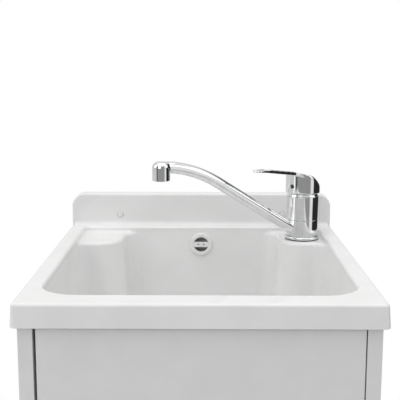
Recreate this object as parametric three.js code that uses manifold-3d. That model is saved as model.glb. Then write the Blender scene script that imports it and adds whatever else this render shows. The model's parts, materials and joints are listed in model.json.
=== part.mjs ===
// Utility laundry sink: a moulded basin on a one-door cabinet, with a single-lever mixer tap.
// Millimetres, +Z up. The floor is z = 0, the wall is on the +Y side, and the origin is the
// centre of the whole object's footprint.

import * as THREE from "three";
import { mergeVertices } from "three/addons/utils/BufferGeometryUtils.js";
import Module from "manifold-3d";

// ---------------------------------------------------------------- driving dimensions

// Basin
const DECK_WIDTH = 450; // across the apron's lower edge
const DECK_DEPTH = 500; // apron's lower edge to the wall
const DECK_HEIGHT = 850;
const WALL = 4.5; // thickness of the moulding
const APRON_DROP = 30;
const APRON_FLARE = 1.8; // how far the apron leans out at its lower edge
const DECK_CORNER_R = 6;
const DECK_EDGE_R = 4;
const RIM_FRONT = 41; // deck between the front edge and the bowl
const RIM_SIDE = 24.2;
const RIM_REAR = 15.5;
const BOWL_EDGE_R = 4;
const BOWL_FRONT_R = 48;
const BOWL_REAR_R = 8;
const BOWL_DEPTH = 210;
const BOWL_DRAFT = 4; // degrees
const BOWL_FOOT_R = 32; // between the walls and the floor
const FLOOR_FALL = 4; // floor's slope, from the foot of the walls to the drain
const DRAIN_BEHIND_CENTRE = 4.9; // drain behind the middle of the bowl
const LEDGE_DROP = 9.5; // rear corner ledges below the deck
const LEDGE_EDGE_R = 6;
const LEDGE_COVE_R = 4; // between the ledges and the wall round them
const COLUMN_R = 37.5; // rounded column under each ledge
const COLUMN_GROWTH = 0.25; // how much of the draft the column's radius takes up
const REAR_COVE_R = 25;
const SIDE_COVE_R = 20;

// Upstand against the wall
const SPLASH_HEIGHT = 54;
const SPLASH_THICK = 23.5;
const SPLASH_CORNER_R = 22;
const SPLASH_EDGE_R = 3;
const SPLASH_COVE_R = 7;
const SPLASH_POCKETS = 6;
const RIB = 3;
const FIXING_SPACING = 280;
const FIXING_HEIGHT = 18;
const FIXING_BORE = 6.5;
const CAP_DIAMETER = 11;
const CAP_SEAT = 4;
const CAP_PROUD = 1.2;
const CAP_WALL = 1.2;
const BOSS_WALL = 3;

// Overflow
const OVERFLOW_DROP = 31;
const OVERFLOW_HOLE = 29;
const ROSETTE_DIAMETER = 40;
const ROSETTE_OPENING = 25;
const ROSETTE_PROUD = 4;
const ROSETTE_BAR = 9;
const ROSETTE_EYE = 2;
const ROSETTE_EYE_SPACING = 8.8;
const ROSETTE_TAIL = 3; // its tube beyond the gasket
const GASKET = 2;
const ELBOW_DIAMETER = 36;
const ELBOW_DEPTH = 24.5;
const ELBOW_FLANGE = 46;
const ELBOW_FLANGE_THICK = 3;
const ELBOW_SOCKET = 12; // pipe's length in the elbow
const ELBOW_REACH = 36; // socket's end below the overflow's centre
const PIPE_DIAMETER = 20;
const PIPE_WALL = 1.6;
const PIPE_BEND_R = 25;
const PIPE_LEVEL = 30; // overflow pipe's level below the bowl's drain

// Waste and trap
const DRAIN_RECESS = 2.5;
const FLANGE_DIAMETER = 70;
const FLANGE_THICK = 2.2;
const DRAIN_HOLE = 52;
const THROAT = 43;
const WASTE_TUBE = 56;
const WASTE_HEIGHT = 32;
const SPIGOT_DIAMETER = 40;
const SPIGOT_LENGTH = 16;
const SCREW_DIAMETER = 6;
const SCREW_LENGTH = 14; // below the grid
const SEAT_WIDE = 4.5; // cone that the plug sits in
const SEAT_DEEP = 4;
const NECK_LENGTH = 16; // flange's neck below the recess
const GRID_THICK = 3;
const GRID_HUB = 12;
const SPOKE = 3;
const COLLAR_WIDE = 5; // the waste body's collar beyond its tube
const COLLAR_THICK = 3;
const CONE_HEIGHT = 8; // between the waste body's tube and its spigot
const PIPE_STOP = 7; // step in the overflow pipe's socket, beyond the tube
const PIPE_SOCKET = 15;
const PLUG_KNOB = 12;
const TUBE_WALL = 2.5;
const TRAP_DIAMETER = 68;
const TRAP_HEIGHT = 62;
const TRAP_CUP_HEIGHT = 60;
const TRAP_OVERLAP = 16;
const TRAP_NECK = 14; // neck above the shoulder
const TRAP_SHOULDER = 6;
const DIP_DIAMETER = 31;
const NUT_WALL = 5.5;
const NUT_REACH = 10; // plastic nuts, each side of their joint
const GRIP_PROUD = 1.6;
const GRIP_WIDTH = 3.6;
const OUTLET_DIAMETER = 36;
const OUTLET_DROP = 22; // outlet's centre below the trap's shoulder
const OUTLET_TO_WALL = 2;
const OUTLET_STUB = 26; // from the trap's side to the outlet pipe

// Mixer tap
const TAP_TO_SIDE = 32; // tap's axis to the bowl's side wall
const TAP_TO_REAR = 48.2; // and to its rear wall
const TAP_HOLE = 35;
const TAP_SEAL = 1;
const BASE_RING_DIAMETER = 56;
const BASE_RING_HEIGHT = 4.5;
const COLLAR_DIAMETER = 51.5;
const COLLAR_HEIGHT = 26.5;
const HUB_DIAMETER = 38;
const BODY_TOP_DIAMETER = 53;
const BODY_HEIGHT = 39.3;
const CARTRIDGE_DIAMETER = 40.4;
const CARTRIDGE_HEIGHT = 32;
const CARTRIDGE_WALL = 2.7;
const CARTRIDGE_FLOOR = 3;
const CARTRIDGE_PORT = 5.2;
const OUTLET_PORT_FORWARD = 12.5;
const FIXED_DISC_THICK = 5;
const DISC_PORT = 4.8;
const SLIDING_DISC = 23.2;
const SLIDING_DISC_RISE = 2.2; // its top above the stem's tip
const NUT_HEIGHT = 3.9;
const NUT_OPENING = 26;
const DOME_R = 27.5; // ball surface under the handle, about the lifting pivot
const DOME_THICK = 2;
const DOME_HEIGHT = 6.2;
const DOME_CLEAR = 1.5; // between that ball and the handle's hollow
const PIVOT_BELOW_BODY_TOP = 10;
const HANDLE_GAP = 5; // between the body and the handle's rim
const HANDLE_DIAMETER = 56;
const HOOD_HEIGHT = 21; // from the rim to the hood's top at its back
const HOOD_SLOPE = 15; // degrees, up towards the lever
const HOOD_R = 16; // round the hood's top edge
const HOOD_FRONT_R = 3; // the same at the lever's root
const BOSS_DIAMETER = 18; // holds the stem
const LEVER_START = 12; // lever's start inside the hood, from the axis
const LEVER_START_WIDTH = 46;
const LEVER_ROOT = 34; // where it leaves the hood
const LEVER_REACH = 120;
const LEVER_RISE = 46.5; // lever's tip above the handle's rim
const LEVER_THICK = 4.5;
const LEVER_ROOT_EXTRA = 3; // more thickness where it leaves the hood
const LEVER_CROWN = 26; // from the tip back to the top of its curve
const LEVER_TIP_WIDTH = 17;
const LEVER_ROOT_WIDTH = 25;
const LEVER_SLOT = 24;
const LEVER_SLOT_WIDTH = 8;
const LEVER_HEADING = -134.5; // degrees from +X
const STEM_WIDTH = 8;
const STEM_DEPTH = 7;
const STEM_BELOW_PIVOT = 12;
const STEM_ABOVE_RIM = 20;
const STEM_PIN_DIAMETER = 5;
const STEM_PIN_LENGTH = 25;
const STEM_NECK = 4.4;
const STEM_TIP_R = 3;
const STEM_TIP_PLAY = 0.8; // round the stem's tip in the sliding disc
const LIFT_TRAVEL = 5.1; // sliding disc's travel
const INDICATOR_DIAMETER = 7;
const INDICATOR_ABOVE_RIM = 12;
const INDICATOR_SEAT = 2.6; // depth of its hole
const GRUB_DIAMETER = 5;
const GRUB_KEY = 2.8;
const GRUB_IN = 8; // its outer end below the handle's face
const SPOUT_HEADING = -150; // degrees from +X
const SPOUT_REACH = 261;
const SPOUT_RISE = 134.2; // spout's axis above the ledge, at the outlet
const SPOUT_SLOPE = 31.4; // degrees
const SPOUT_ROOT_LEVEL = 5.5; // where the straight part's axis would meet the tap's axis
const SPOUT_STRAIGHT = 160;
const SPOUT_DIAMETER = 18;
const SPOUT_BORE = 14;
const HEAD_DIAMETER = 26.8;
const HEAD_DROP = 19; // outlet below the spout's axis
const AERATOR_DIAMETER = 24;
const AERATOR_HEIGHT = 10;
const AERATOR_WALL = 1.8;
const AERATOR_PROUD = 0.8;
const STRAINER_THICK = 4;
const STRAINER_HOLE = 2.8;
const INLET_DIAMETER = 9.8;
const INLET_SPACING = 12.6;
const INLET_FORWARD = 4;
const INLET_LENGTH = 50;
const INLET_WALL = 1.8;
const INLET_SEAT = 10; // depth of its hole above the hub's foot
const WAY_DIAMETER = 6; // waterway from the cartridge to the spout
const WAY_FORWARD = 13;
const STUD_DIAMETER = 8;
const STUD_BACK = 10;
const STUD_LENGTH = 70;
const STUD_SEAT = 12;
const PLATE_R = 26;
const PLATE_THICK = 3;
const NUT_ACROSS = 13;
const NUT_THICK = 6.5;

// Cabinet
const CABINET_INSET = 8; // cabinet's sides in from the apron's lower edge
const CABINET_SETBACK = 8; // cabinet's front behind the apron's lower edge
const CABINET_TO_WALL = 10;
const PANEL = 18;
const FOOT_HEIGHT = 22;
const FOOT_DIAMETER = 30;
const FOOT_INSET = 36;
const FOOT_STEM = 8;
const FOOT_STEM_LENGTH = 36;
const RELIEF_CLEAR = 3.5; // side panel's inner relief, clear of the bowl
const FRONT_RAIL_LOW = 30; // front rail's lower edge below the deck
const BACK_RAIL = 70;
const UPPER_RAIL_DROP = 440; // its lower edge below the deck
const DOOR_GAP = 2.5; // above and below the door
const DOOR_GAP_CATCH = 3.7;
const DOOR_GAP_HINGE = 1.6;
const DOOR_EDGE_R = 3;
const HINGE_IN = 7; // pin's axis from the door's edge
const HINGE_BACK = 6.5; // pin's axis behind the door's face
const PIN_DIAMETER = 4;
const BUSH_DIAMETER = 8;
const BUSH_LENGTH = 14;
const PIN_SEAT = 12; // pin's length in the cabinet
const KNOB_DIAMETER = 30;
const KNOB_REACH = 24;
const KNOB_IN = 38;
const KNOB_BELOW_DECK = 170;
const KNOB_STUD = 8;
const CATCH_SIZE = [14, 22, 40];
const CATCH_BELOW_DECK = 135;
const CATCH_PLATE = 1.2;
const CATCH_PLATE_SIZE = [11, 30];

// Fits
const GAP = 0.3; // between pieces that rest on each other
const RUN = 0.5; // between pieces that turn or slide
const PLUG_CLEAR = 0.35; // between the plug and its seat
const BUSH_CLEAR = 0.1; // between the hinge pins and their bushes
const WELD = 1e-4; // vertices closer than this are one

// Sides of round pieces: polished, ordinary, small, and bores
const FINE = 20;
const MEDIUM = 16;
const SMALL = 12;
const TINY = 8;

// ---------------------------------------------------------------- geometry tools

const wasm = await Module();
wasm.setup();

const { degToRad } = THREE.MathUtils;

// A three.js geometry as a solid that can be joined and cut, with its faces turned outwards.
function solid(geometry) {
  const bare = new THREE.BufferGeometry();
  bare.setAttribute("position", geometry.getAttribute("position"));
  bare.setIndex(geometry.index);
  const merged = mergeVertices(bare, WELD);
  const vertProperties = merged.getAttribute("position").array;
  const triVerts = new Uint32Array(merged.index.array);
  const made = new wasm.Manifold(new wasm.Mesh({ numProp: 3, vertProperties, triVerts }));
  if (made.volume() > 0) return made;
  for (let i = 0; i < triVerts.length; i += 3) {
    const first = triVerts[i];
    triVerts[i] = triVerts[i + 1];
    triVerts[i + 1] = first;
  }
  return new wasm.Manifold(new wasm.Mesh({ numProp: 3, vertProperties, triVerts }));
}

function geometryOf(body) {
  const mesh = body.getMesh();
  const geometry = new THREE.BufferGeometry();
  geometry.setAttribute("position", new THREE.BufferAttribute(mesh.vertProperties, 3));
  geometry.setIndex(new THREE.BufferAttribute(mesh.triVerts, 1));
  geometry.computeVertexNormals();
  return geometry;
}

function join(...bodies) {
  return bodies.reduce((sum, body) => sum.add(body));
}

function cut(body, ...tools) {
  return tools.reduce((left, tool) => left.subtract(tool), body);
}

function block(x0, x1, y0, y1, z0, z1) {
  const geometry = new THREE.BoxGeometry(x1 - x0, y1 - y0, z1 - z0);
  return solid(geometry.translate((x0 + x1) / 2, (y0 + y1) / 2, (z0 + z1) / 2));
}

// An upright round bar.
function rod(radius, z0, z1, x = 0, y = 0, sides = TINY) {
  const geometry = new THREE.CylinderGeometry(radius, radius, z1 - z0, sides);
  return solid(geometry.rotateX(Math.PI / 2).translate(x, y, (z0 + z1) / 2));
}

// A round bar along Y.
function bar(radius, y0, y1, x = 0, z = 0, sides = TINY) {
  const geometry = new THREE.CylinderGeometry(radius, radius, y1 - y0, sides);
  return solid(geometry.translate(x, (y0 + y1) / 2, z));
}

// [radius, z] pairs turned about Z. The profile is closed, or starts and ends on the axis.
function turned(profile, sides = MEDIUM) {
  const onAxis = profile[0][0] === 0 && profile.at(-1)[0] === 0;
  const pairs = onAxis ? profile : [...profile, profile[0]];
  const points = pairs.map(([r, z]) => new THREE.Vector2(r, z));
  return solid(new THREE.LatheGeometry(points, sides).rotateX(Math.PI / 2));
}

// A round tube about Z.
function ring(inner, outer, z0, z1, sides = MEDIUM) {
  const profile = [
    [inner, z0],
    [outer, z0],
    [outer, z1],
    [inner, z1],
  ];
  return turned(profile, sides);
}

// Points on a circle from one angle to another, as [x, y] pairs.
function arc(cx, cy, radius, from, to, steps) {
  return Array.from({ length: steps + 1 }, (_, i) => {
    const angle = degToRad(from + ((to - from) * i) / steps);
    return [cx + radius * Math.cos(angle), cy + radius * Math.sin(angle)];
  });
}

// Straight lines between [x, y, radius] corners, each rounded by an arc of `steps` chords.
function outline(corners, steps) {
  return corners.flatMap(([x, y, radius, ownSteps = steps], i) => {
    const corner = new THREE.Vector2(x, y);
    const next = corners[(i + 1) % corners.length];
    const back = new THREE.Vector2(...corners.at(i - 1).slice(0, 2)).sub(corner).normalize();
    const ahead = new THREE.Vector2(...next.slice(0, 2)).sub(corner).normalize();
    const half = Math.acos(back.dot(ahead)) / 2;
    const middle = back.clone().add(ahead).normalize();
    const centre = corner.clone().addScaledVector(middle, radius / Math.sin(half));
    const start = corner.clone().addScaledVector(back, radius / Math.tan(half)).sub(centre);
    const end = corner.clone().addScaledVector(ahead, radius / Math.tan(half)).sub(centre);
    const turn = Math.atan2(start.cross(end), start.dot(end));
    return Array.from({ length: ownSteps + 1 }, (_, k) => {
      const spoke = start.clone().rotateAround(new THREE.Vector2(), (turn * k) / ownSteps);
      return centre.clone().add(spoke);
    });
  });
}

function atLevel(points, z) {
  return points.map((p) => new THREE.Vector3(p.x, p.y, z));
}

// Triangles of a flat ring of points, of any outline or only a convex one.
const anyOutline = (points) => THREE.ShapeUtils.triangulateShape(points, []);
const fan = (points) => points.slice(2).map((_, i) => [0, i + 1, i + 2]);

// A skin through rings of equally many points, closed by flat ends.
function lofted(rings, faces = anyOutline) {
  const count = rings[0].length;
  const index = [];
  for (let i = 0; i + 1 < rings.length; i++) {
    for (let j = 0; j < count; j++) {
      const a = i * count + j;
      const b = i * count + ((j + 1) % count);
      index.push(a, b, b + count, a, b + count, a + count);
    }
  }
  const last = (rings.length - 1) * count;
  for (const [a, b, c] of faces(rings[0])) index.push(a, c, b);
  for (const [a, b, c] of faces(rings.at(-1))) index.push(last + a, last + b, last + c);
  const geometry = new THREE.BufferGeometry().setFromPoints(rings.flat());
  return geometry.setIndex(index);
}

// An upright prism on an outline.
function prism(points, z0, z1) {
  const shape = new THREE.Shape(points.map((p) => new THREE.Vector2(p.x, p.y)));
  const geometry = new THREE.ExtrudeGeometry(shape, { depth: z1 - z0, bevelEnabled: false });
  return geometry.translate(0, 0, z0);
}

// A round bar along a flat path, with a ring at each end of a straight stretch and
// `divisions` steps round a bend.
function swept(path, radius, divisions, sides) {
  const points = path.getPoints(divisions);
  const last = points.length - 1;
  const first = points[1].clone().sub(points[0]);
  const final = points[last].clone().sub(points[last - 1]);
  const across = first.clone().cross(final).normalize();
  const rings = points.map((point, i) => {
    const before = points[Math.max(i - 1, 0)];
    const after = points[Math.min(i + 1, last)];
    const along = after.clone().sub(before).normalize();
    return Array.from({ length: sides }, (_, k) =>
      across.clone().applyAxisAngle(along, (2 * Math.PI * k) / sides).multiplyScalar(radius).add(point),
    );
  });
  return solid(lofted(rings, fan));
}

const finish = (color, roughness, metalness = 0) =>
  new THREE.MeshStandardMaterial({ color, roughness, metalness, flatShading: true });

const MOULDED_WHITE = finish(0xf0f0ef, 0.25);
const PANEL_WHITE = finish(0xe6e6e6, 0.45);
const PLASTIC_WHITE = finish(0xeeeeec, 0.4);
const PLASTIC_GREY = finish(0x9a9c9e, 0.5);
const CHROME = finish(0xd8dadd, 0.08, 1);
const BRASS = finish(0xc8a860, 0.35, 1);
const STEEL = finish(0xb8bbbe, 0.35, 1);
const RUBBER = finish(0x222222, 0.8);
const CERAMIC = finish(0xe8e4da, 0.3);
const INDICATOR_DARK = finish(0x3a3f48, 0.3);

function piece(name, body, material) {
  const mesh = new THREE.Mesh(geometryOf(body), material);
  mesh.name = name;
  return mesh;
}

// ---------------------------------------------------------------- places shared by the pieces

const deckHalf = DECK_WIDTH / 2 - APRON_FLARE;
const deckFront = -DECK_DEPTH / 2 + APRON_FLARE;
const wallPlane = DECK_DEPTH / 2;
const splashFace = wallPlane - SPLASH_THICK;
const bowlHalf = deckHalf - RIM_SIDE;
const bowlFront = deckFront + RIM_FRONT;
const bowlRear = splashFace - RIM_REAR;
const drainY = (bowlFront + bowlRear) / 2 + DRAIN_BEHIND_CENTRE;
const tapX = bowlHalf - TAP_TO_SIDE;
const tapY = bowlRear - TAP_TO_REAR;
const draft = degToRad(BOWL_DRAFT);
const drainRecessFloor = -BOWL_DEPTH - DRAIN_RECESS;
const bowlUnderside = drainRecessFloor - WALL;

// ---------------------------------------------------------------- basin, z = 0 on the deck

// Rounded rectangle that stands `grow` outside the bowl's or the deck's edges.
function deckRing(grow, rear, z) {
  const half = deckHalf + grow;
  const front = deckFront - grow;
  const corners = [
    [-half, front, DECK_CORNER_R + grow],
    [half, front, DECK_CORNER_R + grow],
    [half, rear, 1],
    [-half, rear, 1],
  ];
  return atLevel(outline(corners, 3), z);
}

function deckBody() {
  const edge = arc(-DECK_EDGE_R, -DECK_EDGE_R, DECK_EDGE_R, 0, 90, 3);
  const rings = [
    deckRing(APRON_FLARE, wallPlane, -APRON_DROP),
    ...edge.map(([grow, z]) => deckRing(grow, wallPlane, z)),
  ];
  const hollow = [
    deckRing(APRON_FLARE - WALL, wallPlane - WALL, -APRON_DROP - 1),
    deckRing(-WALL, wallPlane - WALL, -WALL),
  ];
  return cut(solid(lofted(rings)), solid(lofted(hollow)));
}

// The upstand's front outline, drawn in by `inset`, at distance y from the centre.
function splashRing(inset, y) {
  const half = deckHalf - inset;
  const corners = [
    [-half, -WALL, 0.5, 2],
    [half, -WALL, 0.5, 2],
    [half, SPLASH_HEIGHT - inset, SPLASH_CORNER_R - inset],
    [-half, SPLASH_HEIGHT - inset, SPLASH_CORNER_R - inset],
  ];
  return outline(corners, 5).map((p) => new THREE.Vector3(p.x, p.y, -y));
}

function splashBody() {
  const edge = arc(-SPLASH_EDGE_R, SPLASH_EDGE_R, SPLASH_EDGE_R, 0, -90, 2);
  const rings = [
    splashRing(0, wallPlane),
    ...edge.map(([out, y]) => splashRing(-out, splashFace + y)),
  ];
  const upright = (geometry) => solid(geometry.rotateX(Math.PI / 2));
  const shell = upright(lofted(rings));
  const room = upright(lofted([splashRing(WALL, wallPlane + 1), splashRing(WALL, splashFace + WALL)]));

  const pitch = (2 * (deckHalf - WALL)) / SPLASH_POCKETS;
  const pockets = Array.from({ length: SPLASH_POCKETS }, (_, i) => {
    const left = -deckHalf + WALL + i * pitch;
    const tall = [0, SPLASH_HEIGHT];
    return block(left + RIB / 2, left + pitch - RIB / 2, splashFace, wallPlane + 2, ...tall);
  });
  const bosses = fixingPlaces().map((x) =>
    bar(CAP_DIAMETER / 2 + BOSS_WALL, splashFace + WALL - 1, wallPlane, x, FIXING_HEIGHT),
  );
  return join(cut(shell, room.intersect(join(...pockets))), ...bosses);
}

function fixingPlaces() {
  return [-FIXING_SPACING / 2, FIXING_SPACING / 2];
}

function splashCove() {
  const curve = arc(splashFace - SPLASH_COVE_R, SPLASH_COVE_R, SPLASH_COVE_R, -90, 0, 4);
  const section = [...curve, [splashFace + 1, SPLASH_COVE_R], [splashFace + 1, -1]];
  section.push([splashFace - SPLASH_COVE_R, -1]);
  const points = section.map(([y, z]) => new THREE.Vector2(y, z));
  const half = deckHalf - DECK_EDGE_R;
  const geometry = prism(points, -half, half);
  return solid(geometry.rotateZ(Math.PI / 2).rotateY(Math.PI / 2));
}

// The bowl's mouth: a plain rounded rectangle, `grow` outside the bowl's edges.
function mouthRing(grow, z) {
  const half = bowlHalf + grow;
  const corners = [
    [-half, bowlFront - grow, BOWL_FRONT_R + grow],
    [half, bowlFront - grow, BOWL_FRONT_R + grow],
    [half, bowlRear + grow, BOWL_REAR_R + grow, 3],
    [-half, bowlRear + grow, BOWL_REAR_R + grow, 3],
  ];
  return atLevel(outline(corners, 5), z);
}

// The bowl below its ledges. `inset` is the draft, `ease` draws the columns back under the
// ledges' rounded edge, and `grow` is the distance outside the inner face.
function bowlRing({ inset, ease = 0, grow = 0, z }) {
  const half = bowlHalf - inset + grow;
  const front = bowlFront + inset - grow;
  const rear = bowlRear - inset + grow;
  const column = tapX - COLUMN_R - inset + ease + grow;
  const shelf = tapY - COLUMN_R - inset + ease + grow;
  const columnR = COLUMN_R + COLUMN_GROWTH * inset - ease - grow;
  const corners = [
    [-half, front, BOWL_FRONT_R + grow, 5],
    [half, front, BOWL_FRONT_R + grow, 5],
    [half, shelf, SIDE_COVE_R + grow],
    [column, shelf, columnR, 4],
    [column, rear, REAR_COVE_R + grow],
    [-column, rear, REAR_COVE_R + grow],
    [-column, shelf, columnR, 4],
    [-half, shelf, SIDE_COVE_R + grow],
  ];
  return atLevel(outline(corners, 3), z);
}

// The wall's section from the ledge to the edge of the floor: place, and normal into the bowl.
function wallSection(easeSteps, footSteps) {
  const floorZ = -BOWL_DEPTH + FLOOR_FALL;
  const centreZ = floorZ + BOWL_FOOT_R;
  const footZ = centreZ - BOWL_FOOT_R * Math.sin(draft);
  const footInset = insetAt(footZ);
  const centreInset = footInset + BOWL_FOOT_R * Math.cos(draft);
  const easing = arc(LEDGE_EDGE_R, -LEDGE_DROP - LEDGE_EDGE_R, LEDGE_EDGE_R, 90, 180, easeSteps);
  const foot = arc(centreInset, centreZ, BOWL_FOOT_R, 180 + BOWL_DRAFT, 270, footSteps);
  return [
    ...easing.map(([ease, z]) => ({ inset: insetAt(z), z, ease, tilt: draft })),
    ...foot.map(([inset, z], i) => {
      const tilt = draft + ((Math.PI / 2 - draft) * i) / footSteps;
      return { inset, z, tilt };
    }),
  ];
}

function insetAt(z) {
  return (-LEDGE_DROP - z) * Math.tan(draft);
}

// A ring on a circle about the drain, with a point on each spoke of the bowl's ring.
function drainRing(spokes, radius, z) {
  const centre = new THREE.Vector2(0, drainY);
  return spokes.map((p) => {
    const spoke = new THREE.Vector2(p.x, p.y).sub(centre).setLength(radius).add(centre);
    return new THREE.Vector3(spoke.x, spoke.y, z);
  });
}

// The bowl's room, or with a wall the outside of its shell.
function bowlBody(wall, ...steps) {
  const rings = wallSection(...steps).map(({ inset, z, ease, tilt }) =>
    bowlRing({ inset, ease, grow: wall * Math.cos(tilt), z: z - wall * Math.sin(tilt) }),
  );
  const recess = FLANGE_DIAMETER / 2 + 1.5;
  const level = drainRing(rings.at(-1), recess + WALL + 2, -BOWL_DEPTH - wall);
  const top = rings[0].map((p) => new THREE.Vector3(p.x, p.y, -LEDGE_DROP + WALL));
  const drainRoom = rod(recess + wall, drainRecessFloor - wall, -BOWL_DEPTH + FLOOR_FALL, 0, drainY, FINE);
  return join(solid(lofted([top, ...rings, level])), drainRoom);
}

function mouthRoom() {
  const edge = arc(BOWL_EDGE_R, -BOWL_EDGE_R, BOWL_EDGE_R, 90, 180, 3);
  const cove = arc(-LEDGE_COVE_R, LEDGE_COVE_R - LEDGE_DROP, LEDGE_COVE_R, 0, -90, 2);
  const rings = [...edge, ...cove].map(([grow, z]) => mouthRing(grow, z));
  return solid(lofted([mouthRing(BOWL_EDGE_R, 1), ...rings]));
}

function basinBody() {
  const ledgeLow = -LEDGE_DROP - WALL;
  const ledges = solid(lofted([mouthRing(WALL, -1), mouthRing(WALL - insetAt(ledgeLow), ledgeLow)]));
  const shell = join(deckBody(), splashBody(), splashCove(), ledges, bowlBody(WALL, 1, 3));
  const holes = [
    rod(TAP_HOLE / 2, -LEDGE_DROP - WALL - 1, 1, tapX, tapY, FINE),
    rod(DRAIN_HOLE / 2, bowlUnderside - 1, drainRecessFloor + 1, 0, drainY, FINE),
    tiltedToWall(bar(OVERFLOW_HOLE / 2, -WALL, 3 * WALL, 0, 0, MEDIUM)),
    ...fixingPlaces().map((x) => bar(FIXING_BORE / 2, splashFace - 1, wallPlane + 1, x, FIXING_HEIGHT)),
    ...fixingPlaces().map((x) => {
      const seat = splashFace + CAP_SEAT + GAP;
      return bar(CAP_DIAMETER / 2 + GAP, splashFace - 1, seat, x, FIXING_HEIGHT, SMALL);
    }),
  ];
  return cut(shell, mouthRoom(), bowlBody(0, 3, 4), ...holes);
}

// From a frame on the overflow's axis, with +Y through the wall, to the deck's frame.
function tiltedToWall(body) {
  const place = [0, bowlRear - insetAt(-OVERFLOW_DROP), -OVERFLOW_DROP];
  return body.rotate([-BOWL_DRAFT, 0, 0]).translate(place);
}

// A small domed cap that closes a wall-fixing hole.
function fixingCap(x) {
  const radius = CAP_DIAMETER / 2;
  const profile = [
    [0, -CAP_PROUD],
    [radius * 0.55, -CAP_PROUD * 0.85],
    [radius * 0.9, -CAP_PROUD * 0.35],
    [radius, GAP],
    [radius, CAP_SEAT],
    [radius - CAP_WALL, CAP_SEAT],
    [radius - CAP_WALL, CAP_WALL],
    [0, CAP_WALL],
  ];
  return alongY(turned(profile, SMALL)).translate([x, splashFace, FIXING_HEIGHT]);
}

// Turns a body made about Z so that its +Z points along +Y.
function alongY(body) {
  return body.rotate([-90, 0, 0]);
}

// ---------------------------------------------------------------- overflow, in the deck's frame

function overflowRosette() {
  const outer = ROSETTE_DIAMETER / 2;
  const inner = ROSETTE_OPENING / 2;
  const tube = OVERFLOW_HOLE / 2 - GAP;
  const profile = [
    [inner, -ROSETTE_PROUD + 0.8],
    [inner + 1.2, -ROSETTE_PROUD],
    [outer - 3.4, -ROSETTE_PROUD],
    [outer - 0.8, -ROSETTE_PROUD * 0.55],
    [outer, -GAP],
    [tube, -GAP],
    [tube, WALL + GASKET + ROSETTE_TAIL],
    [inner, WALL + GASKET + ROSETTE_TAIL],
  ];
  const half = ROSETTE_BAR / 2;
  const web = block(-inner - 0.5, inner + 0.5, -half, half, -ROSETTE_PROUD + 1, 0);
  const eyes = [-1, 1].map((side) =>
    rod(ROSETTE_EYE / 2, -ROSETTE_PROUD, 1, (side * ROSETTE_EYE_SPACING) / 2, 0, 6),
  );
  const body = cut(join(turned(profile), web), ...eyes);
  return tiltedToWall(alongY(body));
}

function overflowGasket() {
  const washer = ring(OVERFLOW_HOLE / 2, ROSETTE_DIAMETER / 2, WALL + GAP, WALL + GAP + GASKET);
  return tiltedToWall(alongY(washer));
}

const elbowFront = bowlRear - insetAt(-OVERFLOW_DROP) + WALL + GASKET + 2;
const elbowRear = elbowFront + ELBOW_DEPTH;
const pipeY = elbowRear - PIPE_DIAMETER / 2 - TUBE_WALL - RUN - 1;
const pipeZ = bowlUnderside - PIPE_LEVEL;

function overflowElbow() {
  const start = WALL + GASKET + 2 * GAP;
  const radius = ELBOW_DIAMETER / 2;
  const washer = ring(radius - TUBE_WALL - 0.5, ELBOW_FLANGE / 2, start, start + ELBOW_FLANGE_THICK);
  const flange = tiltedToWall(alongY(washer));
  const level = -OVERFLOW_DROP;
  const housing = bar(radius, elbowFront + 1, elbowRear, 0, level, MEDIUM);
  const room = bar(OVERFLOW_HOLE / 2 + 1, elbowFront - 9, elbowRear - TUBE_WALL, 0, level, MEDIUM);
  const bore = PIPE_DIAMETER / 2 + GAP;
  const end = level - ELBOW_REACH;
  const socket = rod(bore + TUBE_WALL, end, level, 0, pipeY, SMALL);
  return cut(join(flange, housing, socket), room, rod(bore, end - 1, level, 0, pipeY, SMALL));
}

function overflowPipe() {
  const top = new THREE.Vector3(0, pipeY, -OVERFLOW_DROP - ELBOW_REACH + ELBOW_SOCKET);
  const bendTop = new THREE.Vector3(0, pipeY, pipeZ + PIPE_BEND_R);
  const bendEnd = new THREE.Vector3(0, pipeY - PIPE_BEND_R, pipeZ);
  const end = new THREE.Vector3(0, drainY + WASTE_TUBE / 2 + PIPE_STOP + GAP, pipeZ);
  const path = new THREE.CurvePath();
  path.add(new THREE.LineCurve3(top, bendTop));
  path.add(new THREE.QuadraticBezierCurve3(bendTop, new THREE.Vector3(0, pipeY, pipeZ), bendEnd));
  path.add(new THREE.LineCurve3(bendEnd, end));
  const outside = swept(path, PIPE_DIAMETER / 2, 3, SMALL);
  const longer = new THREE.CurvePath();
  const up = new THREE.Vector3(0, 0, 1);
  const on = new THREE.Vector3(0, -1, 0);
  longer.add(new THREE.LineCurve3(top.clone().add(up), bendTop));
  longer.add(path.curves[1]);
  longer.add(new THREE.LineCurve3(bendEnd, end.clone().add(on)));
  return cut(outside, swept(longer, PIPE_DIAMETER / 2 - PIPE_WALL, 3, TINY));
}

// ---------------------------------------------------------------- waste and trap, about the drain

const seatTop = drainRecessFloor + GAP + FLANGE_THICK;
const neckR = DRAIN_HOLE / 2 - 1.5;
const throatR = THROAT / 2;
const neckEnd = drainRecessFloor - NECK_LENGTH;
const gridTop = neckEnd + GRID_THICK;
const collarTop = bowlUnderside - GASKET - 2 * GAP;
const wasteEnd = collarTop - WASTE_HEIGHT;
const coneEnd = wasteEnd - CONE_HEIGHT;
const spigotEnd = coneEnd - SPIGOT_LENGTH;

// Four spokes and a drilled hub, for the central screw.
function spider(radius, z0, z1, hole) {
  const spoke = block(-radius, radius, -SPOKE / 2, SPOKE / 2, z0, z1);
  const hub = rod(GRID_HUB / 2, z0, z1);
  return cut(join(spoke, spoke.rotate([0, 0, 90]), hub), rod(hole, z0 - 1, z1 + 1));
}

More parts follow.
